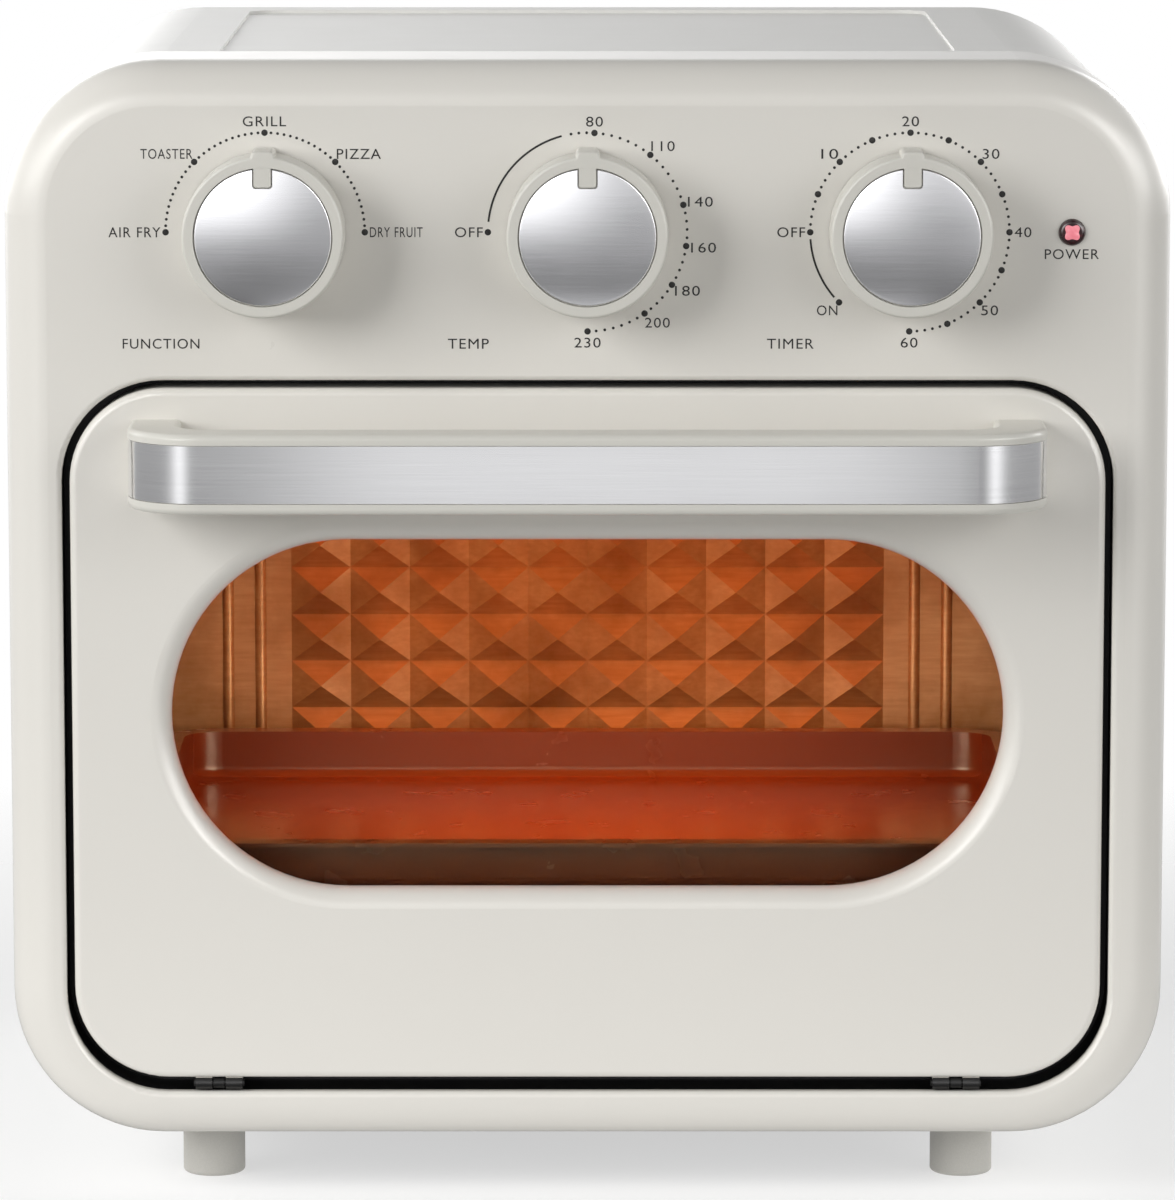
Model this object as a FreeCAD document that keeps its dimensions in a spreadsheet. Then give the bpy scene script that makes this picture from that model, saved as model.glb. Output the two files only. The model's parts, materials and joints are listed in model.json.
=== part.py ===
import FreeCAD, Part
import math
import os
import Sketcher

# Countertop air-fry toaster oven as separate named pieces, in millimetres.
# +X is to the right seen from the front, -Y is the front and +Z is up.  The origin is on the
# surface that the feet stand on, under the middle of the oven.

os.makedirs("parts", exist_ok=True)
document = FreeCAD.newDocument("toaster_oven")
Vector = FreeCAD.Vector
Constraint = Sketcher.Constraint

# ---------------------------------------------------------------- driving dimensions
DIMENSIONS = {
    # casing
    "body_width": 320, "body_height": 300, "body_depth": 250, "corner_radius": 42,
    "foot_height": 17.5, "face_y": -108,
    "bezel_depth": 42, "bezel_edge": 12, "bezel_wall": 2.5, "face_wall": 3,
    "doorway_round": 1.5,
    "sheet": 0.8, "wrap_inset": 0.8, "wrap_flange": 9, "rear_inset": 4,
    "recess_width": 206, "recess_front": -58, "recess_back": 128, "recess_depth": 1,
    "recess_corner": 9.2,
    "base_half": 115, "base_sheet": 1.2, "base_nose": 20,
    "foot_radius": 8.75, "foot_x": 106, "foot_front_y": -69.5, "foot_rear_y": 108,
    # door
    "door_width": 284.6, "door_height": 193, "door_base": 35.1, "door_corner": 26,
    "door_wall": 2.5, "door_shell": 12, "gap_side": 2.2, "gap_base": 3.9, "gap_top": 2.1,
    "window_length": 230, "window_height": 97.3, "window_z": 137, "window_lip": 4.1,
    "window_round": 5.5, "glass_sheet": 3.2, "pan_depth": 6, "pan_inset": 2.9, "pan_base": 46,
    "pan_corner": 20, "pan_sheet": 0.8, "pan_face": 1.2,
    "glass_length": 248, "glass_height": 114, "glass_corner": 12,
    "retainer_length": 268, "retainer_height": 132, "retainer_corner": 16,
    "view_length": 239, "view_height": 106, "view_corner": 44,
    "retainer_side_x": 129, "retainer_side_rise": 32,
    "retainer_edge_x": 60, "retainer_edge_rise": 61.4,
    "pan_screw_x": 128, "pan_screw_low": 60, "pan_screw_high": 214,
    "boss_core": 1.4, "low_boss": 3, "high_boss": 4, "lug_step": 4.2, "lug_sheet": 4.6,
    "hinge_x": 102.5, "hinge_y": -106, "hinge_z": 33.4, "pin_radius": 1, "ear_radius": 1.5,
    "lug_radius": 1.75, "ear_sheet": 3, "running_gap": 0.05,
    # handle
    "handle_width": 250.4, "handle_base": 197.5, "handle_height": 22, "handle_reach": 34,
    "handle_bar": 13, "post_width": 14, "handle_corner": 20, "strip_sheet": 0.9,
    "strip_inset": 3,
    # controls
    "knob_pitch": 88, "knob_z": 271, "knob_radius": 22, "knob_reach": 16, "knob_gap": 0.6,
    "disc_radius": 18.65, "disc_sheet": 1.2, "tab_width": 5.5, "tab_reach": 5,
    "tab_spread": 0.7, "tab_height": 4.6, "tab_corner": 1.1, "tab_root": 0.45,
    "shaft_radius": 3, "bushing_radius": 4.5, "bracket_y": -94.8, "bracket_sheet": 1.2,
    "lamp_x": 132.3, "lamp_radius": 3.6,
    # cavity
    "cavity_width": 264, "cavity_floor": 46, "cavity_height": 178, "cavity_corner": 6,
    "cavity_front": -88.2, "cavity_back": 124, "rib_reach": 4.5, "rib_height": 4,
    "rib_pitch": 24, "rib_first": 70, "frame_sheet": 1.2,
    "pyramid_width": 18.3, "pyramid_height": 14.6, "pyramid_rise": 4.5, "pyramid_first": 11.6,
    "fan_y": 20, "fan_opening": 56, "motor_shaft_radius": 2,
    "stack_base": 262, "stack_height": 14, "rotor_radius": 12.5, "rotor_gap": 0.5,
    "coil_length": 33,
    "tray_rim_z": 96, "tray_depth": 15, "tray_half_width": 124, "tray_front": -79,
    "tray_back": 104, "tray_rim": 6, "tray_corner": 12,
    "crumb_half_width": 124, "crumb_front": -85, "crumb_back": 112, "crumb_depth": 4,
    "rod_radius": 3.5, "lower_rod_z": 60, "upper_rod_z": 208,
}

sheet = document.addObject("Spreadsheet::Sheet", "Dims")
for row, (alias, size) in enumerate(DIMENSIONS.items(), 1):
    sheet.set(f"A{row}", alias)
    sheet.set(f"B{row}", str(size))
    sheet.setAlias(f"B{row}", alias)
document.recompute()

REAR = "(Dims.face_y + Dims.body_depth)"
SEAM = "(Dims.face_y + Dims.bezel_depth)"
BODY_Z = "(Dims.foot_height + Dims.body_height / 2)"
WRAP_BASE = "(Dims.foot_height + Dims.wrap_inset + Dims.sheet)"
DOOR_BACK = "(Dims.face_y + Dims.door_shell)"
DOOR_INNER = "(Dims.face_y + Dims.door_wall)"
DOOR_Z = "(Dims.door_base + Dims.door_height / 2)"
GLASS_FRONT = "(Dims.face_y + Dims.door_wall + Dims.window_lip)"
GLASS_BACK = f"({GLASS_FRONT} + Dims.glass_sheet)"
PAN_BACK = "(Dims.face_y + Dims.door_shell + Dims.pan_depth)"
CAVITY_Z = "(Dims.cavity_floor + Dims.cavity_height / 2)"
CAVITY_TOP = "(Dims.cavity_floor + Dims.cavity_height)"
ROOF = "(Dims.cavity_floor + Dims.cavity_height + Dims.sheet)"
FRAME_FRONT = "(Dims.cavity_front - Dims.frame_sheet)"

subparts = {}


def number(text):
    """The value of an expression over the spreadsheet's cells."""
    return float(sheet.evalExpression(str(text)))


# ---------------------------------------------------------------- sketch helpers
def new_body(label):
    body = document.addObject("PartDesign::Body", label)
    body.Label = label
    subparts[label] = body
    return body


def new_sketch(body, name, plane, level, origin=("0", "0")):
    """A sketch on one of the body's origin planes, moved to a level along that plane's axis.

    Sketch x and y run along X and Y on XY, X and Z on XZ, and Y and Z on YZ.
    """
    sketch = body.newObject("Sketcher::SketchObject", f"{body.Name}_{name}")
    support = [item for item in body.Origin.OriginFeatures if item.Role == f"{plane}_Plane"][0]
    sketch.AttachmentSupport = [(support, "")]
    sketch.MapMode = "FlatFace"
    sign = "-" if plane == "XZ" else ""
    sketch.setExpression("AttachmentOffset.Base.x", origin[0])
    sketch.setExpression("AttachmentOffset.Base.y", origin[1])
    sketch.setExpression("AttachmentOffset.Base.z", f"{sign}({level})")
    return sketch


def bind(sketch, name, constraint, expression):
    index = sketch.addConstraint(constraint)
    sketch.renameConstraint(index, name)
    sketch.setExpression(f"Constraints.{name}", expression)


def square_loop(sketch, tag, corners):
    """A closed outline of level and upright lines; corners are (x, y, radius or None)."""
    count = len(corners)
    spots = [Vector(number(x), number(y), 0) for x, y, _ in corners]
    radii = [number(radius) if radius else 0.0 for _, _, radius in corners]
    aims = [(spots[(i + 1) % count] - spots[i]).normalize() for i in range(count)]
    first = len(sketch.Geometry)
    lines = []
    for i in range(count):
        start = spots[i] + aims[i] * radii[i]
        end = spots[(i + 1) % count] - aims[i] * radii[(i + 1) % count]
        lines.append(Part.LineSegment(start, end))
    sketch.addGeometry(lines, False)
    arc_index = {}
    for i in range(count):
        if not radii[i]:
            continue
        before, after = aims[i - 1], aims[i]
        start = spots[i] - before * radii[i]
        end = spots[i] + after * radii[i]
        middle_aim = (after - before).normalize()
        centre = spots[i] + (after - before) * radii[i]
        middle = centre - middle_aim * radii[i]
        arc_index[i] = sketch.addGeometry(Part.Arc(start, middle, end), False)
    for i in range(count):
        line, previous = first + i, first + (i - 1) % count
        if i in arc_index:
            arc = arc_index[i]
            turns_left = aims[i - 1].cross(aims[i]).z > 0
            arc_start, arc_end = (1, 2) if turns_left else (2, 1)
            sketch.addConstraint(Constraint("Tangent", previous, 2, arc, arc_start))
            sketch.addConstraint(Constraint("Tangent", arc, arc_end, line, 1))
            bind(sketch, f"{tag}_radius_{i}", Constraint("Radius", arc, radii[i]), corners[i][2])
        else:
            sketch.addConstraint(Constraint("Coincident", previous, 2, line, 1))
        level = abs(aims[i].x) > abs(aims[i].y)
        sketch.addConstraint(Constraint("Horizontal" if level else "Vertical", line))
        kind, place = ("DistanceY", spots[i].y) if level else ("DistanceX", spots[i].x)
        expression = corners[i][1] if level else corners[i][0]
        bind(sketch, f"{tag}_side_{i}", Constraint(kind, -1, 1, line, 1, place), expression)


def rounded_loop(sketch, tag, x, y, width, height, radius=None):
    """A rectangle centred on (x, y), with its corners rounded if a radius is given."""
    left, right = f"({x}) - ({width}) / 2", f"({x}) + ({width}) / 2"
    low, high = f"({y}) - ({height}) / 2", f"({y}) + ({height}) / 2"
    square_loop(sketch, tag, [(left, low, radius), (right, low, radius),
                              (right, high, radius), (left, high, radius)])


def span_loop(sketch, tag, left, right, low, high, radius=None):
    square_loop(sketch, tag, [(left, low, radius), (right, low, radius),
                              (right, high, radius), (left, high, radius)])


def stadium_loop(sketch, tag, x, y, length, height):
    """A slot outline with round ends, level, centred on (x, y)."""
    across, up, long, tall = number(x), number(y), number(length), number(height)
    radius, run = tall / 2, (long - tall) / 2
    low, high = up - radius, up + radius
    left, right = across - run, across + run
    first = len(sketch.Geometry)
    axis = Vector(0, 0, 1)
    sketch.addGeometry([
        Part.LineSegment(Vector(left, low, 0), Vector(right, low, 0)),
        Part.ArcOfCircle(Part.Circle(Vector(right, up, 0), axis, radius), -math.pi / 2, math.pi / 2),
        Part.LineSegment(Vector(right, high, 0), Vector(left, high, 0)),
        Part.ArcOfCircle(Part.Circle(Vector(left, up, 0), axis, radius), math.pi / 2, 1.5 * math.pi),
    ], False)
    for i in range(4):
        line, following = first + i, first + (i + 1) % 4
        sketch.addConstraint(Constraint("Tangent", line, 2, following, 1))
    sketch.addConstraint(Constraint("Horizontal", first))
    sketch.addConstraint(Constraint("Horizontal", first + 2))
    for end, arc, place, sign in (("right", first + 1, right, "+"), ("left", first + 3, left, "-")):
        bind(sketch, f"{tag}_{end}", Constraint("DistanceX", -1, 1, arc, 3, place),
             f"({x}) {sign} (({length}) - ({height})) / 2")
    for edge, line, place, sign in (("low", first, low, "-"), ("high", first + 2, high, "+")):
        bind(sketch, f"{tag}_{edge}", Constraint("DistanceY", -1, 1, line, 1, place),
             f"({y}) {sign} ({height}) / 2")


def circle(sketch, tag, x, y, radius):
    across, up, size = number(x), number(y), number(radius)
    ring = sketch.addGeometry(Part.Circle(Vector(across, up, 0), Vector(0, 0, 1), size), False)
    bind(sketch, f"{tag}_radius", Constraint("Radius", ring, size), radius)
    for kind, place, text in (("DistanceX", across, x), ("DistanceY", up, y)):
        bind(sketch, f"{tag}_{kind}", Constraint(kind, -1, 1, ring, 3, place), text)


# ---------------------------------------------------------------- feature helpers
def pad(body, sketch, length, reverse=False):
    """Pads along the sketch plane's normal: +Z, -Y or +X, or the other way with reverse."""
    volume = 0.0 if body.Tip is None else body.Shape.Volume
    feature = body.newObject("PartDesign::Pad", f"{sketch.Name}_pad")
    feature.Profile = sketch
    feature.setExpression("Length", length)
    feature.Reversed = reverse
    document.recompute()
    if not body.Shape.Volume > volume:
        raise RuntimeError(f"{feature.Name} adds nothing")
    return feature


def pocket(body, sketch, length, reverse=False):
    """Cuts against the sketch plane's normal: -Z, +Y or -X, or the other way with reverse."""
    volume = body.Shape.Volume
    feature = body.newObject("PartDesign::Pocket", f"{sketch.Name}_pocket")
    feature.Profile = sketch
    feature.setExpression("Length", length)
    feature.Reversed = reverse
    document.recompute()
    if not body.Shape.Volume < volume - 0.01:
        raise RuntimeError(f"{feature.Name} removes nothing")
    return feature


def round_edges(body, name, radius, chosen):
    """A fillet on every edge of the body's tip that the test chooses."""
    volume, base = body.Shape.Volume, body.Tip
    names = [f"Edge{i}" for i, edge in enumerate(base.Shape.Edges, 1) if chosen(edge)]
    feature = body.newObject("PartDesign::Fillet", f"{body.Name}_{name}")
    feature.Base = (base, names)
    feature.setExpression("Radius", radius)
    document.recompute()
    if not 0.8 * volume < body.Shape.Volume < 1.2 * volume:
        raise RuntimeError(f"{feature.Name} spoils its body")


def pattern_line(body, feature, sketch, axis, length, count):
    pattern = body.newObject("PartDesign::LinearPattern", f"{feature.Name}_row")
    pattern.Originals = [feature]
    pattern.Direction = (sketch, [axis])
    pattern.setExpression("Length", length)
    pattern.Occurrences = count
    body.Tip = pattern
    document.recompute()
    return pattern


def pattern_round(body, feature, sketch, count):
    pattern = body.newObject("PartDesign::PolarPattern", f"{feature.Name}_ring")
    pattern.Originals = [feature]
    pattern.Axis = (sketch, ["N_Axis"])
    pattern.Angle = 360
    pattern.Occurrences = count
    body.Tip = pattern
    document.recompute()
    return pattern


def flat_at(axis, level, reach=None):
    """Chooses edges that lie in one plane; reach limits the largest |X| that they come to."""
    def chosen(edge):
        box = edge.BoundBox
        low, high = {"X": (box.XMin, box.XMax), "Y": (box.YMin, box.YMax),
                     "Z": (box.ZMin, box.ZMax)}[axis]
        near = abs(low - level) < 0.01 and abs(high - level) < 0.01
        widest = max(abs(box.XMin), abs(box.XMax))
        return near and (reach is None or reach[0] < widest < reach[1])
    return chosen


def move(part, x="0", y="0", z="0"):
    for axis, expression in zip("xyz", (x, y, z)):
        part.setExpression(f"Placement.Base.{axis}", expression)
    document.recompute()


def solid(label, shape):
    """A sub-part whose shape comes from Part's own functions."""
    part = document.addObject("Part::Feature", label)
    part.Label = label
    part.Shape = shape
    part.Placement = FreeCAD.Placement()
    subparts[label] = part
    return part


# ---------------------------------------------------------------- casing
BRACKET_SCREWS = [(f"{side} * 44", level) for side in (-1, 1) for level in ("250", "297")]


def make_front_panel():
    body = new_body("front_panel")
    width, height, radius = "Dims.body_width", "Dims.body_height", "Dims.corner_radius"
    outline = new_sketch(body, "outline", "XZ", SEAM)
    rounded_loop(outline, "outer", "0", BODY_Z, width, height, radius)
    pad(body, outline, "Dims.bezel_depth")
    hollow = new_sketch(body, "hollow", "XZ", SEAM)
    wall = "2 * Dims.bezel_wall"
    rounded_loop(hollow, "inner", "0", BODY_Z, f"{width} - {wall}", f"{height} - {wall}",
                 f"{radius} - Dims.bezel_wall")
    pocket(body, hollow, "Dims.bezel_depth - Dims.face_wall", reverse=True)
    round_edges(body, "inner_brow", "Dims.bezel_edge - Dims.bezel_wall",
                flat_at("Y", number("Dims.face_y + Dims.face_wall")))
    round_edges(body, "brow", "Dims.bezel_edge", flat_at("Y", number("Dims.face_y")))
    doorway = new_sketch(body, "doorway", "XZ", "Dims.face_y")
    span_loop(doorway, "edge", "-Dims.door_width / 2 - Dims.gap_side",
              "Dims.door_width / 2 + Dims.gap_side", "Dims.door_base - Dims.gap_base",
              "Dims.door_base + Dims.door_height + Dims.gap_top", "Dims.door_corner + 2")
    pocket(body, doorway, "Dims.face_wall + 1")
    round_edges(body, "doorway_lip", "Dims.doorway_round", flat_at("Y", number("Dims.face_y"), (0, 146)))
    controls = new_sketch(body, "controls", "XZ", "Dims.face_y")
    for index in (-1, 0, 1):
        circle(controls, f"shaft_{index + 2}", f"{index} * Dims.knob_pitch", "Dims.knob_z",
               "Dims.bushing_radius + 0.4")
    circle(controls, "lamp", "Dims.lamp_x", "Dims.knob_z", "Dims.lamp_radius + 0.1")
    pocket(body, controls, "Dims.face_wall + 1")
    posts = new_sketch(body, "posts", "XZ", "Dims.bracket_y - Dims.bracket_sheet")
    for index, (x, z) in enumerate(BRACKET_SCREWS):
        circle(posts, f"post_{index}", x, z, "4")
        circle(posts, f"core_{index}", x, z, "1.5")
    pad(body, posts, "Dims.bracket_y - Dims.bracket_sheet - Dims.face_y - Dims.face_wall + 0.5")
    notch = new_sketch(body, "base_notch", "XY", "Dims.foot_height - 1")
    span_loop(notch, "edge", "-Dims.base_half", "Dims.base_half", f"{SEAM} - Dims.base_nose",
              f"{SEAM} + 5")
    pocket(body, notch, "Dims.bezel_wall + 2", reverse=True)


def make_outer_wrap():
    body = new_body("outer_wrap")
    shrink = "2 * Dims.wrap_inset"
    width, height = f"Dims.body_width - {shrink}", f"Dims.body_height - {shrink}"
    radius = "Dims.corner_radius - Dims.wrap_inset"
    thin = "2 * Dims.sheet"
    outline = new_sketch(body, "outline", "XZ", REAR)
    rounded_loop(outline, "outer", "0", BODY_Z, width, height, radius)
    rounded_loop(outline, "inner", "0", BODY_Z, f"{width} - {thin}", f"{height} - {thin}",
                 f"{radius} - Dims.sheet")
    pad(body, outline, f"{REAR} - {SEAM}")
    flange = new_sketch(body, "flange", "XZ", f"{REAR} - Dims.rear_inset")
    rounded_loop(flange, "outer", "0", BODY_Z, f"{width} - Dims.sheet",
                 f"{height} - Dims.sheet", f"{radius} - Dims.sheet / 2")
    hem = "2 * Dims.wrap_flange"
    rounded_loop(flange, "inner", "0", BODY_Z, f"{width} - {hem}", f"{height} - {hem}",
                 f"{radius} - Dims.wrap_flange")
    for index, (x, z) in enumerate(REAR_SCREWS):
        circle(flange, f"screw_{index}", x, z, "1.7")
    pad(body, flange, "Dims.sheet")
    under = new_sketch(body, "recess_under", "XY",
                       f"Dims.foot_height + Dims.body_height - Dims.wrap_inset - 0.4")
    span_loop(under, "edge", "-Dims.recess_width / 2 - Dims.sheet",
              "Dims.recess_width / 2 + Dims.sheet", "Dims.recess_front - Dims.sheet",
              "Dims.recess_back + Dims.sheet", "Dims.recess_corner + Dims.sheet")
    pad(body, under, "Dims.recess_depth + Dims.sheet - 0.4", reverse=True)
    recess = new_sketch(body, "recess", "XY",
                        "Dims.foot_height + Dims.body_height - Dims.wrap_inset")
    span_loop(recess, "edge", "-Dims.recess_width / 2", "Dims.recess_width / 2",
              "Dims.recess_front", "Dims.recess_back", "Dims.recess_corner")
    pocket(body, recess, "Dims.recess_depth")
    mouth = new_sketch(body, "mouth", "XY", "Dims.foot_height")
    span_loop(mouth, "edge", "-Dims.base_half", "Dims.base_half", f"{SEAM} - 5", f"{REAR} + 5")
    pocket(body, mouth, "Dims.wrap_flange + 2", reverse=True)
    vents = new_sketch(body, "vents", "YZ", "Dims.body_width / 2 + 1")
    for index, level in enumerate((262, 236)):
        span_loop(vents, f"slot_{index}", "40", "43", f"{level} - 10", f"{level} + 10", "1.4")
    slot = pocket(body, vents, "Dims.body_width + 2")
    pattern_line(body, slot, vents, "H_Axis", "64", 9)


def make_base_plate():
    body = new_body("base_plate")
    outline = new_sketch(body, "outline", "XY", WRAP_BASE)
    step = f"{SEAM} + 0.3"
    nose = f"{SEAM} - Dims.base_nose + 0.3"
    back = f"{REAR} - Dims.rear_inset - Dims.sheet - 0.4"
    narrow, wide = "Dims.base_half - 0.3", "Dims.base_half + 2.8"
    square_loop(outline, "edge", [
        (f"-({narrow})", nose, None), (narrow, nose, None), (narrow, step, None),
        (wide, step, None), (wide, back, None), (f"-({wide})", back, None),
        (f"-({wide})", step, None), (f"-({narrow})", step, None)])
    for side in (-1, 1):
        for end in ("front", "rear"):
            circle(outline, f"hole_{end}_{side + 2}", f"{side} * Dims.foot_x",
                   f"Dims.foot_{end}_y", "1.9")
    pad(body, outline, "Dims.base_sheet")
    vents = new_sketch(body, "vents", "XY", WRAP_BASE)
    for index in range(4):
        x = f"{-75 + 50 * index}"
        rounded_loop(vents, f"slot_{index}", x, "-30", "34", "4", "1.9")
    slot = pocket(body, vents, "Dims.base_sheet + 1", reverse=True)
    pattern_line(body, slot, vents, "V_Axis", "100", 9)


GLAND_X, GLAND_Z = "112", "44"


def make_rear_panel():
    body = new_body("rear_panel")
    gap = "2 * (Dims.wrap_inset + Dims.sheet + 0.4)"
    outline = new_sketch(body, "outline", "XZ", f"{REAR} - Dims.rear_inset")
    rounded_loop(outline, "edge", "0", BODY_Z, f"Dims.body_width - {gap}",
                 f"Dims.body_height - {gap}", "Dims.corner_radius - Dims.wrap_inset - 1.2")
    circle(outline, "gland", GLAND_X, GLAND_Z, "6.4")
    for index, (x, z) in enumerate(REAR_SCREWS):
        circle(outline, f"screw_{index}", x, z, "1.9")
    pad(body, outline, "Dims.base_sheet", reverse=True)
    vents = new_sketch(body, "vents", "XZ", f"{REAR} - Dims.rear_inset - 1")
    for index, (level, half) in enumerate(((268, 14), (236, 14), (84, 10))):
        span_loop(vents, f"slot_{index}", "-92", "-88", f"{level - half}", f"{level + half}", "1.9")
    slot = pocket(body, vents, "Dims.base_sheet + 2")
    pattern_line(body, slot, vents, "H_Axis", "176", 23)


def rear_screw_places():
    """Eight screws round the rear edge, in the middle of the casing's inward flange."""
    inset = "(Dims.wrap_inset + Dims.wrap_flange / 2 + 1)"
    side = f"(Dims.body_width / 2 - {inset})"
    top = f"(Dims.foot_height + Dims.body_height - {inset})"
    places = []
    for sign in ("-", ""):
        places += [(f"{sign}{side}", "80"), (f"{sign}{side}", "168"), (f"{sign}{side}", "256")]
        places.append((f"{sign}70", top))
    return places


REAR_SCREWS = rear_screw_places()


def make_cord_gland():
    body = new_body("cord_gland")
    back = f"({REAR} - Dims.rear_inset + Dims.base_sheet)"
    for name, level, radius, length in (("barrel", back, "6.2", "10"), ("nut", f"{back} - 1.7", "8.5", "3")):
        ring = new_sketch(body, name, "XZ", level)
        circle(ring, "outer", GLAND_X, GLAND_Z, radius)
        pad(body, ring, length)
    rim = new_sketch(body, "rim", "XZ", back)
    circle(rim, "outer", GLAND_X, GLAND_Z, "9")
    pad(body, rim, "2.2", reverse=True)
    bore = new_sketch(body, "bore", "XZ", f"{back} + 2.2")
    circle(bore, "hole", GLAND_X, GLAND_Z, "3.6")
    pocket(body, bore, "14", reverse=True)
    round_edges(body, "lip", "0.9", flat_at("Y", number(f"{back} + 2.2")))


def make_foot(label, side, end):
    body = new_body(label)
    outline = new_sketch(body, "outline", "XY", "0")
    circle(outline, "outer", "0", "0", "Dims.foot_radius")
    pad(body, outline, WRAP_BASE)
    round_edges(body, "tread", "1.2", flat_at("Z", 0))
    recess = new_sketch(body, "recess", "XY", "0")
    circle(recess, "hole", "0", "0", "4.6")
    pocket(body, recess, "9", reverse=True)
    bore = new_sketch(body, "bore", "XY", "9")
    circle(bore, "hole", "0", "0", "1.9")
    pocket(body, bore, "12", reverse=True)
    move(body, f"{side} * Dims.foot_x", f"Dims.foot_{end}_y")


def screw_shape(head_radius, head_height, shank_radius, shank_length):
    """A cross-recessed pan-head screw with its head's seat at the origin and the head up +Z."""
    head = Part.makeCylinder(head_radius, head_height)
    top = [edge for edge in head.Edges if abs(edge.BoundBox.ZMin - head_height) < 0.01]
    head = head.makeFillet(head_height * 0.55, [edge for edge in top if edge.Closed])
    slot_width, slot_depth = head_radius * 0.3, head_height * 0.5
    for turn in (0, 90):
        slot = Part.makeBox(head_radius * 1.2, slot_width, slot_depth)
        slot.translate(Vector(-head_radius * 0.6, -slot_width / 2, head_height - slot_depth))
        slot.rotate(Vector(), Vector(0, 0, 1), turn)
        head = head.cut(slot)
    shank = Part.makeCylinder(shank_radius, shank_length, Vector(0, 0, -shank_length))
    return head.fuse(shank).removeSplitter()


def make_screws(label, groups):
    """Fasteners of one kind in one node; groups are (shape, head direction, places)."""
    copies = []
    for shape, direction, places in groups:
        turn = FreeCAD.Rotation(Vector(0, 0, 1), Vector(*direction))
        for place in places:
            copy = shape.copy()
            copy.Placement = FreeCAD.Placement(Vector(*[number(value) for value in place]), turn)
            copies.append(copy)
    solid(label, Part.makeCompound(copies))


def make_casing_screws():
    """Rear panel, foot and control bracket screws."""
    back = f"{REAR} - Dims.rear_inset + Dims.base_sheet"
    feet = [(f"{side} * Dims.foot_x", f"Dims.foot_{end}_y", "9")
            for side in (-1, 1) for end in ("front", "rear")]
    bracket = [(x, "Dims.bracket_y", z) for x, z in BRACKET_SCREWS]
    make_screws("casing_screws", [
        (screw_shape(3.4, 2.0, 1.6, 7), (0, 1, 0), [(x, back, z) for x, z in REAR_SCREWS]),
        (screw_shape(3.6, 2.2, 1.6, 14), (0, 0, -1), feet),
        (screw_shape(3.2, 1.8, 1.4, 8), (0, 1, 0), bracket),
    ])


# ---------------------------------------------------------------- cavity
def make_front_frame():
    """The dark steel frame that the door closes against, with a wall round the doorway."""
    body = new_body("front_frame")
    plate = new_sketch(body, "plate", "XZ", "Dims.cavity_front")
    span_loop(plate, "outer", "-152", "152", "26.5", "236", "32")
    rounded_loop(plate, "cavity", "0", CAVITY_Z, "Dims.cavity_width", "Dims.cavity_height",
                 "Dims.cavity_corner")
    for side in (-1, 1):
        rounded_loop(plate, f"slot_{side + 2}", f"{side} * Dims.hinge_x", "Dims.hinge_z",
                     "Dims.ear_sheet + 0.8", "4")
    pad(body, plate, "Dims.frame_sheet")
    wall = new_sketch(body, "wall", "XZ", f"{FRAME_FRONT} + 0.4")
    for tag, grow in (("outer", "(0.5 + Dims.frame_sheet)"), ("inner", "0.5")):
        reach = f"(Dims.door_width / 2 + Dims.gap_side + {grow})"
        span_loop(wall, tag, f"-{reach}", reach, f"Dims.door_base - Dims.gap_base - {grow}",
                  f"Dims.door_base + Dims.door_height + Dims.gap_top + {grow}",
                  f"Dims.door_corner + 2 + {grow}")
    pad(body, wall, f"{FRAME_FRONT} + 0.4 - Dims.face_y - Dims.face_wall")


def make_cavity_liner():
    body = new_body("cavity_liner")
    shell = new_sketch(body, "shell", "XZ", "Dims.cavity_front")
    thin = "2 * Dims.sheet"
    width, height = "Dims.cavity_width", "Dims.cavity_height"
    rounded_loop(shell, "outer", "0", CAVITY_Z, f"{width} + {thin}", f"{height} + {thin}",
                 "Dims.cavity_corner + Dims.sheet")
    rounded_loop(shell, "inner", "0", CAVITY_Z, width, height, "Dims.cavity_corner")
    pad(body, shell, "Dims.cavity_back - Dims.cavity_front", reverse=True)
    guides = new_sketch(body, "guides", "XZ", "Dims.cavity_front + 6")
    wall = f"({width} / 2)"
    for level in range(4):
        z = f"Dims.rib_first + {level} * Dims.rib_pitch"
        for side in (-1, 1):
            rounded_loop(guides, f"rib_{level}_{side + 2}",
                         f"{side} * ({wall} - Dims.rib_reach / 2 + 0.2)", z,
                         "Dims.rib_reach + 0.4", "Dims.rib_height", "1.6")
    pad(body, guides, "190", reverse=True)
    roof = new_sketch(body, "roof", "XY", f"{ROOF} + 1", ("0", "Dims.fan_y"))
    circle(roof, "fan", "0", "0", "Dims.fan_opening")
    pocket(body, roof, "Dims.sheet + 4")
    rods = new_sketch(body, "rods", "YZ", f"{wall} + 5")
    for index, y in enumerate(LOWER_ROD_PLACES):
        circle(rods, f"hole_{index}", y, "Dims.lower_rod_z", "Dims.rod_radius + 0.5")
    pocket(body, rods, f"{width} + 10")


LOWER_ROD_PLACES = ("-34", "62")


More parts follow.
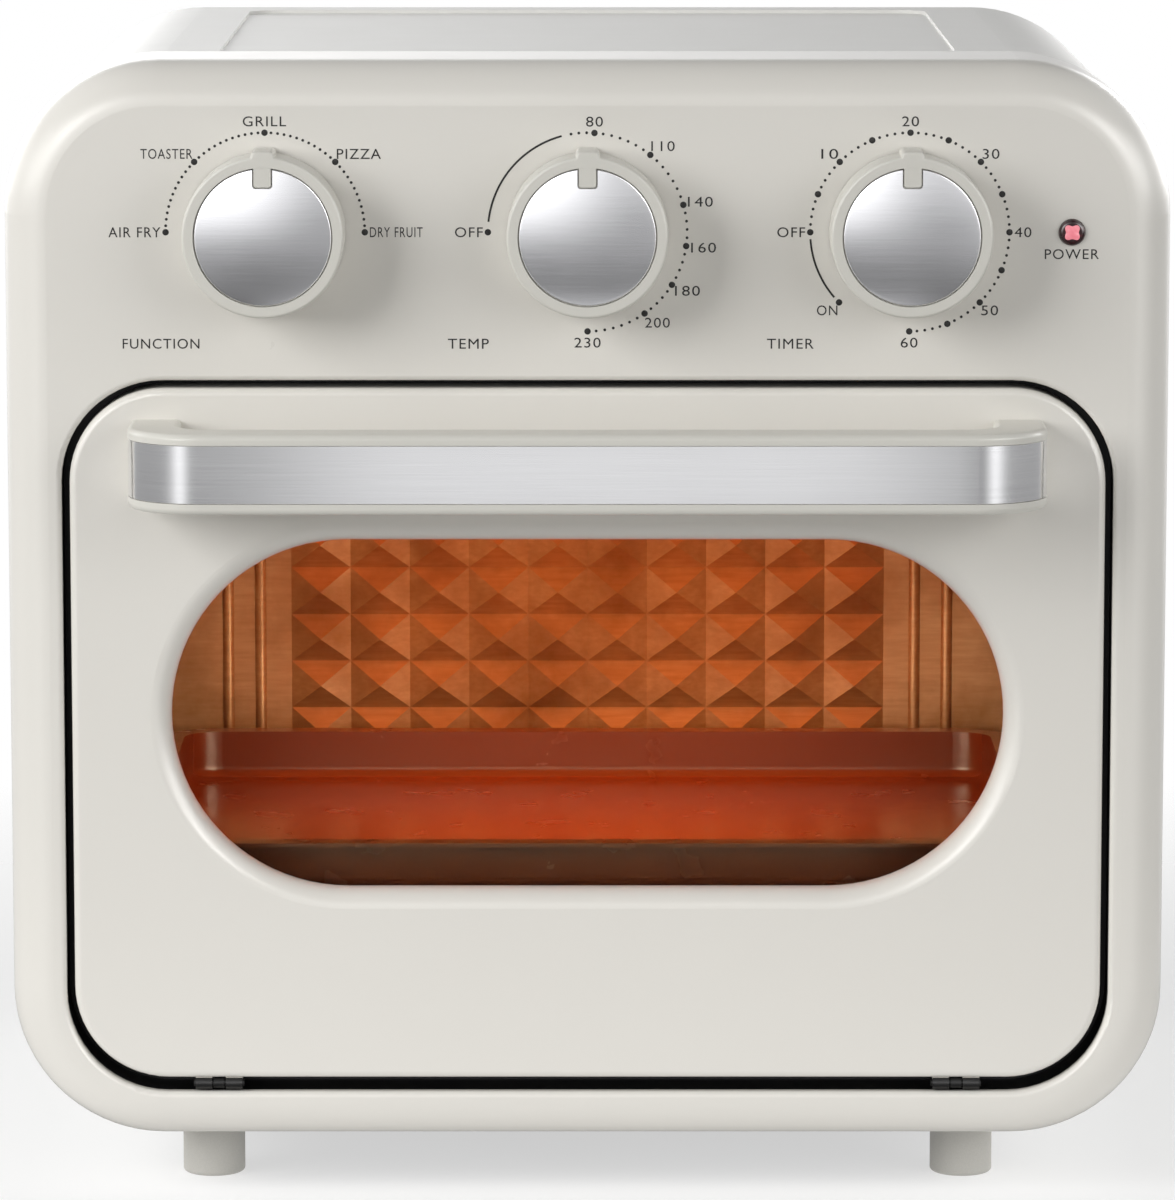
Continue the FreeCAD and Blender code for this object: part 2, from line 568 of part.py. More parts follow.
def make_rear_reflector():
    """A pressed steel wall with rows of four-sided pyramids between two pairs of beads."""
    wide, tall = number("Dims.pyramid_width"), number("Dims.pyramid_height")
    rise, thick = number("Dims.pyramid_rise"), number("Dims.frame_sheet")
    columns, rows = 10, 10
    front = number("Dims.cavity_back")
    left, low = -wide * columns / 2, number("Dims.cavity_floor + Dims.pyramid_first")
    half = number("Dims.cavity_width / 2 + 4")
    base, top = number("Dims.cavity_floor - 4"), number(f"{CAVITY_TOP} + 4")

    def at(x, z, depth=0.0):
        return Vector(x, front + depth, z)

    def face(*points):
        return Part.Face(Part.makePolygon([*points, points[0]]))

    faces = []
    for column in range(columns):
        for row_number in range(rows):
            x, z = left + column * wide, low + row_number * tall
            corners = [at(x, z), at(x + wide, z), at(x + wide, z + tall), at(x, z + tall)]
            tip = at(x + wide / 2, z + tall / 2, -rise)
            faces += [face(corners[i], corners[(i + 1) % 4], tip) for i in range(4)]
    right, high = left + wide * columns, low + tall * rows
    rim = [at(left + i * wide, low) for i in range(columns)]
    rim += [at(right, low + i * tall) for i in range(rows)]
    rim += [at(right - i * wide, high) for i in range(columns)]
    rim += [at(left, high - i * tall) for i in range(rows)]
    edge = [at(-half, base), at(half, base), at(half, top), at(-half, top)]
    back = [at(point.x, point.z, thick) for point in edge]
    plate_edge = Part.makePolygon([*edge, edge[0]])
    faces.append(Part.makeFace([plate_edge, Part.makePolygon([*rim, rim[0]])], "Part::FaceMakerCheese"))
    faces.append(face(*back))
    faces += [face(edge[i], edge[(i + 1) % 4], back[(i + 1) % 4], back[i]) for i in range(4)]
    shape = Part.Solid(Part.makeShell(faces))
    if shape.Volume < 0:
        shape.reverse()
    for x in (-111, -101, 101, 111):
        bead = Part.makeCylinder(1.8, high - low, at(x, low, 0.4))
        shape = shape.fuse(bead)
    back_face = Part.makeBox(2 * half, 3, top - base, at(-half, base, thick))
    shape = shape.cut(back_face)
    for x in (-22, 22):
        hole = Part.makeCylinder(number("Dims.rod_radius + 0.5"), 12,
                                 at(x, number("Dims.upper_rod_z"), -6), Vector(0, 1, 0))
        shape = shape.cut(hole)
    solid("rear_reflector", shape)


def make_fan_guard():
    body = new_body("fan_guard")
    disc = new_sketch(body, "disc", "XY", CAVITY_TOP, ("0", "Dims.fan_y"))
    circle(disc, "outer", "0", "0", "Dims.fan_opening + 6")
    pad(body, disc, "1.2", reverse=True)
    for index, (inner, outer, width, count) in enumerate(((40, 52, 5, 24), (24, 36, 5, 16), (10, 20, 4, 10))):
        slots = new_sketch(body, f"slots_{index}", "XY", CAVITY_TOP, ("0", "Dims.fan_y"))
        span_loop(slots, "slot", str(inner), str(outer), f"-{width} / 2", f"{width} / 2", "1.9")
        pattern_round(body, pocket(body, slots, "3"), slots, count)


def make_fan_housing():
    body = new_body("fan_housing")
    can = new_sketch(body, "can", "XY", ROOF, ("0", "Dims.fan_y"))
    circle(can, "outer", "0", "0", "Dims.fan_opening + 9")
    pad(body, can, "26")
    hollow = new_sketch(body, "hollow", "XY", ROOF, ("0", "Dims.fan_y"))
    circle(hollow, "inner", "0", "0", "Dims.fan_opening + 8.2")
    pocket(body, hollow, "25.2", reverse=True)
    top = new_sketch(body, "top", "XY", f"{ROOF} + 30", ("0", "Dims.fan_y"))
    circle(top, "shaft", "0", "0", "5")
    pocket(body, top, "8")


def make_pan(label, level, height, outline, rim=None):
    """An open tray: outline is (half width, front, back, corner); a rim is a flange round it."""
    body = new_body(label)
    half, front, back, corner = outline
    block = new_sketch(body, "block", "XY", level)
    span_loop(block, "edge", f"-({half})", half, front, back, corner)
    pad(body, block, height)
    floor = number(level)
    if rim:
        flange = new_sketch(body, "flange", "XY", f"{level} + {height} - 1.2")
        span_loop(flange, "edge", f"-({half}) - {rim}", f"{half} + {rim}", f"{front} - {rim}",
                  f"{back} + {rim}", f"{corner} + {rim}")
        pad(body, flange, "1.2")
    hollow = new_sketch(body, "hollow", "XY", f"{level} + {height}")
    span_loop(hollow, "edge", f"-({half}) + 0.8", f"{half} - 0.8", f"{front} + 0.8",
              f"{back} - 0.8", f"{corner} - 0.8")
    pocket(body, hollow, f"{height} - 0.8")
    round_edges(body, "inner_heel", f"({corner}) * 0.35 - 0.7", flat_at("Z", floor + 0.8))
    round_edges(body, "heel", f"({corner}) * 0.35", flat_at("Z", floor))


def swept_rod(points, radius, bend):
    """A round rod along straight runs joined by tangent arcs, all in one level plane."""
    spots = [Vector(*point) for point in points]
    edges, start = [], spots[0]
    for before, corner, after in zip(spots, spots[1:], spots[2:]):
        inward, onward = (corner - before).normalize(), (after - corner).normalize()
        half_turn = inward.getAngle(onward) / 2
        reach = bend * math.tan(half_turn)
        arc_start, arc_end = corner - inward * reach, corner + onward * reach
        bisector = (onward - inward).normalize()
        middle = corner + bisector * (bend / math.cos(half_turn) - bend)
        edges.append(Part.LineSegment(start, arc_start).toShape())
        edges.append(Part.Arc(arc_start, middle, arc_end).toShape())
        start = arc_end
    edges.append(Part.LineSegment(start, spots[-1]).toShape())
    path = Part.Wire(edges)
    section = Part.Wire(Part.Circle(spots[0], spots[1] - spots[0], radius).toShape())
    return path.makePipeShell([section], True, False)


def make_heaters():
    radius, level = number("Dims.rod_radius"), number("Dims.upper_rod_z")
    rear = number("Dims.cavity_back") + 9
    near, far, side, inner = -62, 96, 98, 22
    loop = [(-inner, rear, level), (-inner, far, level), (-side, far, level), (-side, near, level),
            (side, near, level), (side, far, level), (inner, far, level), (inner, rear, level)]
    solid("upper_heater", swept_rod(loop, radius, 13))
    for place, y in zip(("front", "rear"), LOWER_ROD_PLACES):
        rod = document.addObject("Part::Cylinder", f"lower_heater_{place}")
        rod.Label = f"lower_heater_{place}"
        rod.setExpression("Radius", "Dims.rod_radius")
        rod.setExpression("Height", "Dims.cavity_width + 30")
        rod.Placement = FreeCAD.Placement(Vector(), FreeCAD.Rotation(Vector(0, 1, 0), 90))
        move(rod, "-Dims.cavity_width / 2 - 15", y, "Dims.lower_rod_z")
        subparts[rod.Label] = rod
    bushes = []
    bore, collar = radius + 0.05, 7.0
    wall = number("Dims.cavity_width / 2 + Dims.sheet")
    for y in LOWER_ROD_PLACES:
        for side in (-1, 1):
            base = Vector(side * wall, number(y), number("Dims.lower_rod_z"))
            aim = Vector(side, 0, 0)
            bushes.append(Part.makeCylinder(collar, 9, base, aim).cut(
                Part.makeCylinder(bore, 9, base, aim)))
    back = number("Dims.cavity_back + Dims.frame_sheet")
    for x in (-inner, inner):
        base, aim = Vector(x, back, level), Vector(0, 1, 0)
        bushes.append(Part.makeCylinder(collar, 5, base, aim).cut(Part.makeCylinder(bore, 5, base, aim)))
    solid("heater_bushes", Part.makeCompound(bushes))


def make_wire_rack():
    """A welded rack: a rounded perimeter rod, two cross rods under it and thin wires over it."""
    frame_radius, wire_radius = 2.0, 1.25
    level = number("Dims.rib_first + Dims.rib_height / 2") + frame_radius
    side, near, far, bend = 129.0, -80.0, 102.0, 14.0
    along, across, up = Vector(0, 1, 0), Vector(1, 0, 0), Vector(0, 0, 1)
    rods = []
    for x in (-side, side):
        rods.append(Part.makeCylinder(frame_radius, far - near - 2 * bend,
                                      Vector(x, near + bend, level), along))
    for y in (near, far):
        rods.append(Part.makeCylinder(frame_radius, 2 * (side - bend),
                                      Vector(bend - side, y, level), across))
    centres = ((side - bend, far - bend), (bend - side, far - bend),
               (bend - side, near + bend), (side - bend, near + bend))
    for quarter, (x, y) in enumerate(centres):
        corner = Part.makeTorus(bend, frame_radius, Vector(), up, 0, 360, 90)
        corner.rotate(Vector(), up, 90 * quarter)
        corner.translate(Vector(x, y, level))
        rods.append(corner)
    count, pitch = 13, 18.0
    for index in range(count):
        x = (index - (count - 1) / 2) * pitch
        rods.append(Part.makeCylinder(wire_radius, far - near, Vector(x, near, level + 2.4), along))
    cross_radius = 1.75
    for y in (-25.0, 47.0):
        start = Vector(-side, y, level + frame_radius - cross_radius)
        rods.append(Part.makeCylinder(cross_radius, 2 * side, start, across))
    solid("wire_rack", rods[0].multiFuse(rods[1:]))


def make_thermostat_bulb():
    wall = number("Dims.cavity_width / 2")
    x, z = wall - 6.5, 182.0
    shape = Part.makeCylinder(2.2, 78, Vector(x, -30, z), Vector(0, 1, 0))
    shape = shape.fuse(Part.makeSphere(2.2, Vector(x, -30, z)))
    for y in (-18, 34):
        clip = Part.makeBox(wall - x, 5, 1.2, Vector(x, y, z - 0.6))
        shape = shape.fuse(clip)
    solid("thermostat_bulb", shape.removeSplitter())


def make_heat_shield():
    """A bent plate on the cavity roof that keeps heat from the controls."""
    body = new_body("heat_shield")
    profile = new_sketch(body, "profile", "XZ", "Dims.cavity_front + 3")
    half, top, thin = "122", f"{ROOF} + 9", "Dims.sheet"
    square_loop(profile, "edge", [
        (f"-{half}", ROOF, None), (f"-{half} + {thin}", ROOF, None),
        (f"-{half} + {thin}", f"{top} - {thin}", None), (f"{half} - {thin}", f"{top} - {thin}", None),
        (f"{half} - {thin}", ROOF, None), (half, ROOF, None), (half, top, None),
        (f"-{half}", top, None)])
    pad(body, profile, "36", reverse=True)


# ---------------------------------------------------------------- controls
KNOBS = (("function", -1), ("temp", 0), ("timer", 1))


def make_control_bracket():
    body = new_body("control_bracket")
    plate = new_sketch(body, "plate", "XZ", "Dims.bracket_y")
    span_loop(plate, "edge", "-126", "121", "240", "305", "5")
    for index in (-1, 0, 1):
        circle(plate, f"bush_{index + 2}", f"{index} * Dims.knob_pitch", "Dims.knob_z",
               "Dims.bushing_radius + 0.1")
    for index, (x, z) in enumerate(BRACKET_SCREWS):
        circle(plate, f"screw_{index}", x, z, "1.9")
    pad(body, plate, "Dims.bracket_sheet")
    flange = new_sketch(body, "flange", "XY", "240")
    span_loop(flange, "edge", "-120", "115", "Dims.bracket_y - 0.4", "Dims.bracket_y + 12")
    pad(body, flange, "Dims.bracket_sheet")


def make_control(label, index, width, height, depth, round_case):
    """A rotary control behind the bracket: a case, a threaded bushing and three terminals."""
    body = new_body(label)
    x = f"{index} * Dims.knob_pitch"
    case = new_sketch(body, "case", "XZ", "Dims.bracket_y")
    if round_case:
        circle(case, "edge", x, "Dims.knob_z", f"{width} / 2")
    else:
        rounded_loop(case, "edge", x, "Dims.knob_z", width, height, "3")
    pad(body, case, depth, reverse=True)
    bush = new_sketch(body, "bush", "XZ", "Dims.bracket_y")
    circle(bush, "edge", x, "Dims.knob_z", "Dims.bushing_radius")
    pad(body, bush, "9")
    terminals = new_sketch(body, "terminals", "XZ", f"Dims.bracket_y + {depth}")
    for step in (-1, 0, 1):
        rounded_loop(terminals, f"blade_{step + 2}", f"{x} + {step} * 9", "Dims.knob_z - 6", "4.8", "0.8")
    pad(body, terminals, "8", reverse=True)
    bore = new_sketch(body, "bore", "XZ", "Dims.bracket_y - 9")
    circle(bore, "edge", x, "Dims.knob_z", "Dims.shaft_radius + Dims.running_gap")
    pocket(body, bore, "20")


def make_knob(name, index):
    """A moulded skirted knob, open at the back, with an inlaid disc and a pointer tab."""
    reach = "(-Dims.knob_reach)"
    body = new_body(f"{name}_knob")
    skirt = new_sketch(body, "skirt", "XZ", "-Dims.knob_gap")
    circle(skirt, "edge", "0", "0", "Dims.knob_radius")
    pad(body, skirt, "Dims.knob_reach - Dims.knob_gap")
    tab = new_sketch(body, "tab", "XZ", "-Dims.knob_gap")
    rounded_loop(tab, "edge", "0", "Dims.knob_radius - 1", "Dims.tab_width + Dims.tab_spread",
                 "Dims.tab_height", "Dims.tab_corner")
    pad(body, tab, "Dims.knob_reach - Dims.knob_gap")
    skirt_edge = number("Dims.knob_radius")
    round_edges(body, "tab_root", "Dims.tab_root", lambda edge: edge.BoundBox.XLength < 0.01
                and edge.BoundBox.ZLength < 0.01 and edge.BoundBox.ZMin > 0
                and abs(math.hypot(edge.BoundBox.XMin, edge.BoundBox.ZMin) - skirt_edge) < 0.01)
    seat = new_sketch(body, "seat", "XZ", reach)
    circle(seat, "edge", "0", "0", "Dims.disc_radius + 0.3")
    pocket(body, seat, "Dims.disc_sheet + 0.6")
    pointer = new_sketch(body, "pointer", "XZ", f"{reach} + Dims.disc_sheet + 1")
    span_loop(pointer, "edge", "-Dims.tab_width / 2 + 0.4", "Dims.tab_width / 2 - 0.4",
              "Dims.disc_radius - Dims.tab_reach", "Dims.disc_radius + 1.5", "0.7")
    pad(body, pointer, "Dims.disc_sheet + 0.9")
    hollow = new_sketch(body, "hollow", "XZ", "0")
    circle(hollow, "edge", "0", "0", "Dims.knob_radius - 2.2")
    circle(hollow, "hub", "0", "0", "6.5")
    pocket(body, hollow, "9 + Dims.knob_gap", reverse=True)
    bore = new_sketch(body, "bore", "XZ", "0")
    circle(bore, "edge", "0", "0", "Dims.shaft_radius + Dims.running_gap")
    pocket(body, bore, "Dims.knob_reach - 4", reverse=True)
    on_face = flat_at("Y", -number("Dims.knob_reach"))
    outer = number("Dims.knob_radius") - 0.5
    round_edges(body, "brow", "0.75", lambda edge: on_face(edge) and all(
        math.hypot(vertex.X, vertex.Z) > outer for vertex in edge.Vertexes))
    move(body, f"{index} * Dims.knob_pitch", "Dims.face_y", "Dims.knob_z")

    disc = new_body(f"{name}_knob_disc")
    plate = new_sketch(disc, "plate", "XZ", f"{reach} + Dims.disc_sheet + 0.6")
    circle(plate, "edge", "0", "0", "Dims.disc_radius")
    pad(disc, plate, "Dims.disc_sheet")
    gap = new_sketch(disc, "gap", "XZ", reach)
    span_loop(gap, "edge", "-Dims.tab_width / 2 - 0.05", "Dims.tab_width / 2 + 0.05",
              "Dims.disc_radius - Dims.tab_reach - 0.45", "Dims.disc_radius + 3", "0.9")
    pocket(disc, gap, "Dims.disc_sheet + 2")
    round_edges(disc, "bevel", "0.25", flat_at("Y", number(f"{reach} + 0.6")))
    move(disc, f"{index} * Dims.knob_pitch", "Dims.face_y", "Dims.knob_z")

    shaft = document.addObject("Part::Cylinder", f"{name}_shaft")
    shaft.Label = f"{name}_shaft"
    shaft.setExpression("Radius", "Dims.shaft_radius")
    shaft.Height = 33.5
    shaft.Placement = FreeCAD.Placement(Vector(), FreeCAD.Rotation(Vector(1, 0, 0), 90))
    move(shaft, f"{index} * Dims.knob_pitch", "Dims.face_y - Dims.knob_reach + 4.4 + 33.5",
         "Dims.knob_z")
    subparts[shaft.Label] = shaft


def make_lamp():
    lens = new_body("power_lamp")
    barrel = new_sketch(lens, "barrel", "XZ", "Dims.face_y + 5")
    circle(barrel, "edge", "Dims.lamp_x", "Dims.knob_z", "Dims.lamp_radius")
    pad(lens, barrel, "6.2")
    round_edges(lens, "dome", "1.1", flat_at("Y", number("Dims.face_y - 1.2")))
    housing = new_body("lamp_housing")
    can = new_sketch(housing, "can", "XZ", "Dims.face_y + 22")
    circle(can, "edge", "Dims.lamp_x", "Dims.knob_z", "Dims.lamp_radius + 1.6")
    pad(housing, can, "19")
    seat = new_sketch(housing, "seat", "XZ", "Dims.face_y + 3")
    circle(seat, "edge", "Dims.lamp_x", "Dims.knob_z", "Dims.lamp_radius + 0.1")
    pocket(housing, seat, "2.2")
    leads = new_sketch(housing, "leads", "XZ", "Dims.face_y + 22")
    for side in (-1, 1):
        circle(leads, f"lead_{side + 2}", f"Dims.lamp_x + {side} * 2", "Dims.knob_z", "0.8")
    pad(housing, leads, "9", reverse=True)


# ---------------------------------------------------------------- fan motor
def make_motor():
    centre = ("0", "Dims.fan_y")
    clear = "Dims.motor_shaft_radius + Dims.running_gap"
    core = new_body("motor_core")
    stack = new_sketch(core, "stack", "XY", "Dims.stack_base", centre)
    span_loop(stack, "edge", "-30", "30", "-22", "34", "3")
    circle(stack, "bore", "0", "0", "Dims.rotor_radius + Dims.rotor_gap")
    pad(core, stack, "Dims.stack_height")
    window = new_sketch(core, "window", "XY", "Dims.stack_base - 1", centre)
    span_loop(window, "edge", "-19", "19", "17", "25", "1")
    pocket(core, window, "Dims.stack_height + 2", reverse=True)

    coil = new_body("motor_coil")
    winding = new_sketch(coil, "winding", "YZ", "-Dims.coil_length / 2",
                         ("Dims.fan_y", "Dims.stack_base + Dims.stack_height / 2"))
    rounded_loop(winding, "outer", "29.5", "0", "24", "29", "5")
    rounded_loop(winding, "inner", "29.5", "0", "9.6", "14.6")
    pad(coil, winding, "Dims.coil_length")

    for name, level, reverse in (
            ("lower", "Dims.stack_base - 1.5", True),
            ("upper", "Dims.stack_base + Dims.stack_height + 1.5", False)):
        strap = new_body(f"motor_{name}_strap")
        plate = new_sketch(strap, "plate", "XY", level, centre)
        span_loop(plate, "edge", "-29", "29", "-9", "9", "3")
        circle(plate, "bore", "0", "0", clear)
        pad(strap, plate, "1.6", reverse)
        hub = new_sketch(strap, "hub", "XY", level, centre)
        circle(hub, "edge", "0", "0", "5")
        circle(hub, "bore", "0", "0", clear)
        pad(strap, hub, "4", reverse)
        posts = new_sketch(strap, "posts", "XY", level, centre)
        for side in (-1, 1):
            circle(posts, f"post_{side + 2}", f"{side} * 24", "0", "2.5")
        pad(strap, posts, "1.5", not reverse)

    bridge = new_body("motor_bridge")
    profile = new_sketch(bridge, "profile", "XZ", "Dims.fan_y + 16")
    half, top = "74", "256.5"
    square_loop(profile, "edge", [
        (f"-{half} - 8", ROOF, None), (f"-{half} + 1.2", ROOF, None),
        (f"-{half} + 1.2", f"{top} - 1.2", None), (f"{half} - 1.2", f"{top} - 1.2", None),
        (f"{half} - 1.2", ROOF, None), (f"{half} + 8", ROOF, None),
        (f"{half} + 8", f"{ROOF} + 1.2", None), (half, f"{ROOF} + 1.2", None),
        (half, top, None), (f"-{half}", top, None), (f"-{half}", f"{ROOF} + 1.2", None),
        (f"-{half} - 8", f"{ROOF} + 1.2", None)])
    pad(bridge, profile, "32")
    hole = new_sketch(bridge, "hole", "XY", "258", centre)
    circle(hole, "edge", "0", "0", "6")
    pocket(bridge, hole, "6")

    rotor = new_body("motor_rotor")
    drum = new_sketch(rotor, "drum", "XY", "Dims.stack_base", centre)
    circle(drum, "edge", "0", "0", "Dims.rotor_radius")
    circle(drum, "bore", "0", "0", "Dims.motor_shaft_radius")
    pad(rotor, drum, "Dims.stack_height")

    shaft = document.addObject("Part::Cylinder", "motor_shaft")
    shaft.Label = "motor_shaft"
    shaft.setExpression("Radius", "Dims.motor_shaft_radius")
    shaft.Height = 68
    move(shaft, "0", "Dims.fan_y", "230")
    subparts["motor_shaft"] = shaft


def make_fan(label, level, radius, blades, blade_height):
    """A radial fan: a disc, a hub on the motor shaft and upright blades."""
    body = new_body(label)
    centre = ("0", "Dims.fan_y")
    disc = new_sketch(body, "disc", "XY", level, centre)
    circle(disc, "edge", "0", "0", radius)
    circle(disc, "bore", "0", "0", "Dims.motor_shaft_radius")
    pad(body, disc, "1")
    hub = new_sketch(body, "hub", "XY", level, centre)
    circle(hub, "edge", "0", "0", "6")
    circle(hub, "bore", "0", "0", "Dims.motor_shaft_radius")
    pad(body, hub, "7", reverse=blade_height < 0)
    blade = new_sketch(body, "blade", "XY", f"{level} + 0.5", centre)
    span_loop(blade, "edge", "9", f"{radius} - 0.5", "4", "5")
    raised = pad(body, blade, str(abs(blade_height)), reverse=blade_height < 0)
    pattern_round(body, raised, blade, blades)


def make_small_electrics():
    fuse = new_body("thermal_fuse")
    plate = new_sketch(fuse, "plate", "XY", ROOF)
    rounded_loop(plate, "edge", "-96", "66", "30", "14", "3")
    pad(fuse, plate, "1")
    can = new_sketch(fuse, "can", "XY", ROOF)
    circle(can, "edge", "-96", "66", "6.5")
    pad(fuse, can, "9")
    block = new_body("terminal_block")
    case = new_sketch(block, "case", "XZ", "Dims.cavity_back + Dims.frame_sheet")
    rounded_loop(case, "edge", "70", "34", "36", "12", "1")
    pad(block, case, "9", reverse=True)
    for step in range(3):
        ports = new_sketch(block, f"port_{step}", "XY", "41")
        circle(ports, "edge", f"{58 + 12 * step}", "Dims.cavity_back + Dims.frame_sheet + 4.5", "2.4")
        pocket(block, ports, "6")


# ---------------------------------------------------------------- door
RETAINER_SCREWS = [
    (f"{side} * Dims.retainer_{place}_x", f"Dims.window_z + {level} * Dims.retainer_{place}_rise")
    for place in ("side", "edge") for side in (-1, 1) for level in (-1, 1)]
PAN_SCREWS = [(f"{side} * Dims.pan_screw_x", f"Dims.pan_screw_{level}")
              for side in (-1, 1) for level in ("low", "high")]
VIEW = ("Dims.view_length", "Dims.view_height", "Dims.view_corner")
HANDLE_POST_X = "(Dims.handle_width / 2 - Dims.post_width / 2)"
HANDLE_Z = "(Dims.handle_base + Dims.handle_height / 2)"


def make_door_outer_panel():
    body = new_body("door_outer_panel")
    width, height, corner = "Dims.door_width", "Dims.door_height", "Dims.door_corner"
    outline = new_sketch(body, "outline", "XZ", DOOR_BACK)
    rounded_loop(outline, "edge", "0", DOOR_Z, width, height, corner)
    pad(body, outline, "Dims.door_shell")
    round_edges(body, "edge", "2", flat_at("Y", number("Dims.face_y")))
    hollow = new_sketch(body, "hollow", "XZ", DOOR_BACK)
    wall = "2 * Dims.door_wall"
    rounded_loop(hollow, "edge", "0", DOOR_Z, f"{width} - {wall}", f"{height} - {wall}",
                 f"{corner} - Dims.door_wall")
    pocket(body, hollow, "Dims.door_shell - Dims.door_wall", reverse=True)
    lip = new_sketch(body, "lip", "XZ", GLASS_FRONT)
    stadium_loop(lip, "edge", "0", "Dims.window_z", "Dims.window_length + 8",
                 "Dims.window_height + 8")
    pad(body, lip, "Dims.window_lip + 0.5")
    window = new_sketch(body, "window", "XZ", "Dims.face_y")
    stadium_loop(window, "edge", "0", "Dims.window_z", "Dims.window_length", "Dims.window_height")
    pocket(body, window, "Dims.door_wall + Dims.window_lip + 1")
    round_edges(body, "window_brow", "Dims.window_round",
                flat_at("Y", number("Dims.face_y"), (0, 116)))
    for tag, places, radius, back in (
            ("low", RETAINER_SCREWS, "Dims.low_boss", GLASS_BACK),
            ("high", PAN_SCREWS, "Dims.high_boss", f"{PAN_BACK} - Dims.pan_face")):
        bosses = new_sketch(body, f"bosses_{tag}", "XZ", back)
        for index, (x, z) in enumerate(places):
            circle(bosses, f"boss_{index}", x, z, radius)
            circle(bosses, f"core_{index}", x, z, "Dims.boss_core")
        pad(body, bosses, f"{back} - {DOOR_INNER} + 0.4")
    for side in (-1, 1):
        for lug in (-1, 1):
            start = f"{side} * Dims.hinge_x + {lug} * Dims.lug_step - Dims.lug_sheet / 2"
            for tag in ("eye", "web"):
                lugs = new_sketch(body, f"lug_{tag}_{side + 2}_{lug + 2}", "YZ", start)
                if tag == "eye":
                    circle(lugs, "edge", "Dims.hinge_y", "Dims.hinge_z", "Dims.lug_radius")
                else:
                    span_loop(lugs, "edge", "Dims.hinge_y", "Dims.hinge_y + Dims.lug_radius",
                              "Dims.hinge_z", "Dims.door_base + 0.6")
                pad(body, lugs, "Dims.lug_sheet")
    bores = new_sketch(body, "pin_bores", "YZ", "Dims.hinge_x + 10")
    circle(bores, "pin", "Dims.hinge_y", "Dims.hinge_z", "Dims.pin_radius")
    pocket(body, bores, "2 * Dims.hinge_x + 20")
    screws = new_sketch(body, "handle_holes", "XZ", "Dims.face_y")
    for side in (-1, 1):
        circle(screws, f"hole_{side + 2}", f"{side} * {HANDLE_POST_X}", HANDLE_Z, "1.7")
    pocket(body, screws, "Dims.door_wall + 1")


def make_door_insides():
    glass = new_body("door_glass")
    pane = new_sketch(glass, "pane", "XZ", GLASS_BACK)
    rounded_loop(pane, "edge", "0", "Dims.window_z", "Dims.glass_length", "Dims.glass_height",
                 "Dims.glass_corner")
    pad(glass, pane, "Dims.glass_sheet")

    retainer = new_body("glass_retainer")
    ring = new_sketch(retainer, "ring", "XZ", f"{GLASS_BACK} + Dims.frame_sheet")
    rounded_loop(ring, "outer", "0", "Dims.window_z", "Dims.retainer_length",
                 "Dims.retainer_height", "Dims.retainer_corner")
    rounded_loop(ring, "inner", "0", "Dims.window_z", *VIEW)
    for index, (x, z) in enumerate(RETAINER_SCREWS):
        circle(ring, f"hole_{index}", x, z, "1.6")
    pad(retainer, ring, "Dims.frame_sheet")

    pan = new_body("door_inner_panel")
    width = "Dims.door_width - 2 * Dims.pan_inset"
    top = "Dims.door_base + Dims.door_height - Dims.pan_inset"
    left, right = f"-({width}) / 2", f"({width}) / 2"
    block = new_sketch(pan, "block", "XZ", PAN_BACK)
    span_loop(block, "edge", left, right, "Dims.pan_base", top, "Dims.pan_corner")
    pad(pan, block, "Dims.pan_depth")
    round_edges(pan, "heel", "2", flat_at("Y", number(PAN_BACK)))
    hollow = new_sketch(pan, "hollow", "XZ", DOOR_BACK)
    span_loop(hollow, "edge", f"{left} + Dims.pan_sheet", f"{right} - Dims.pan_sheet",
              "Dims.pan_base + Dims.pan_sheet", f"{top} - Dims.pan_sheet",
              "Dims.pan_corner - Dims.pan_sheet")
    pocket(pan, hollow, "Dims.pan_depth - Dims.pan_face")
    window = new_sketch(pan, "window", "XZ", DOOR_BACK)
    rounded_loop(window, "edge", "0", "Dims.window_z", *VIEW)
    for index, (x, z) in enumerate(PAN_SCREWS):
        circle(window, f"hole_{index}", x, z, "1.6")
    pocket(pan, window, "Dims.pan_depth + 2")

    retainer_back = f"{GLASS_BACK} + Dims.frame_sheet"
    make_screws("door_screws", [
        (screw_shape(2.9, 1.5, 1.35, 4), (0, 1, 0), [(x, retainer_back, z) for x, z in RETAINER_SCREWS]),
        (screw_shape(2.9, 1.3, 1.35, 9), (0, 1, 0), [(x, PAN_BACK, z) for x, z in PAN_SCREWS]),
        (screw_shape(3.2, 1.7, 1.6, 14), (0, 1, 0),
         [(f"{side} * {HANDLE_POST_X}", DOOR_INNER, HANDLE_Z) for side in (-1, 1)]),
    ])


def c_loop(sketch, tag, half, wall, back, front, bar, radius, inner_radius):
    """A C open to the back, seen from above: half width, wall of the ends, depth of the bar."""
    inner = f"(({half}) - ({wall}))"
    square_loop(sketch, tag, [
        (f"-({half})", back, None), (f"-({half})", front, radius), (half, front, radius),
        (half, back, None), (inner, back, None), (inner, f"{front} + {bar}", inner_radius),
        (f"-{inner}", f"{front} + {bar}", inner_radius), (f"-{inner}", back, None)])


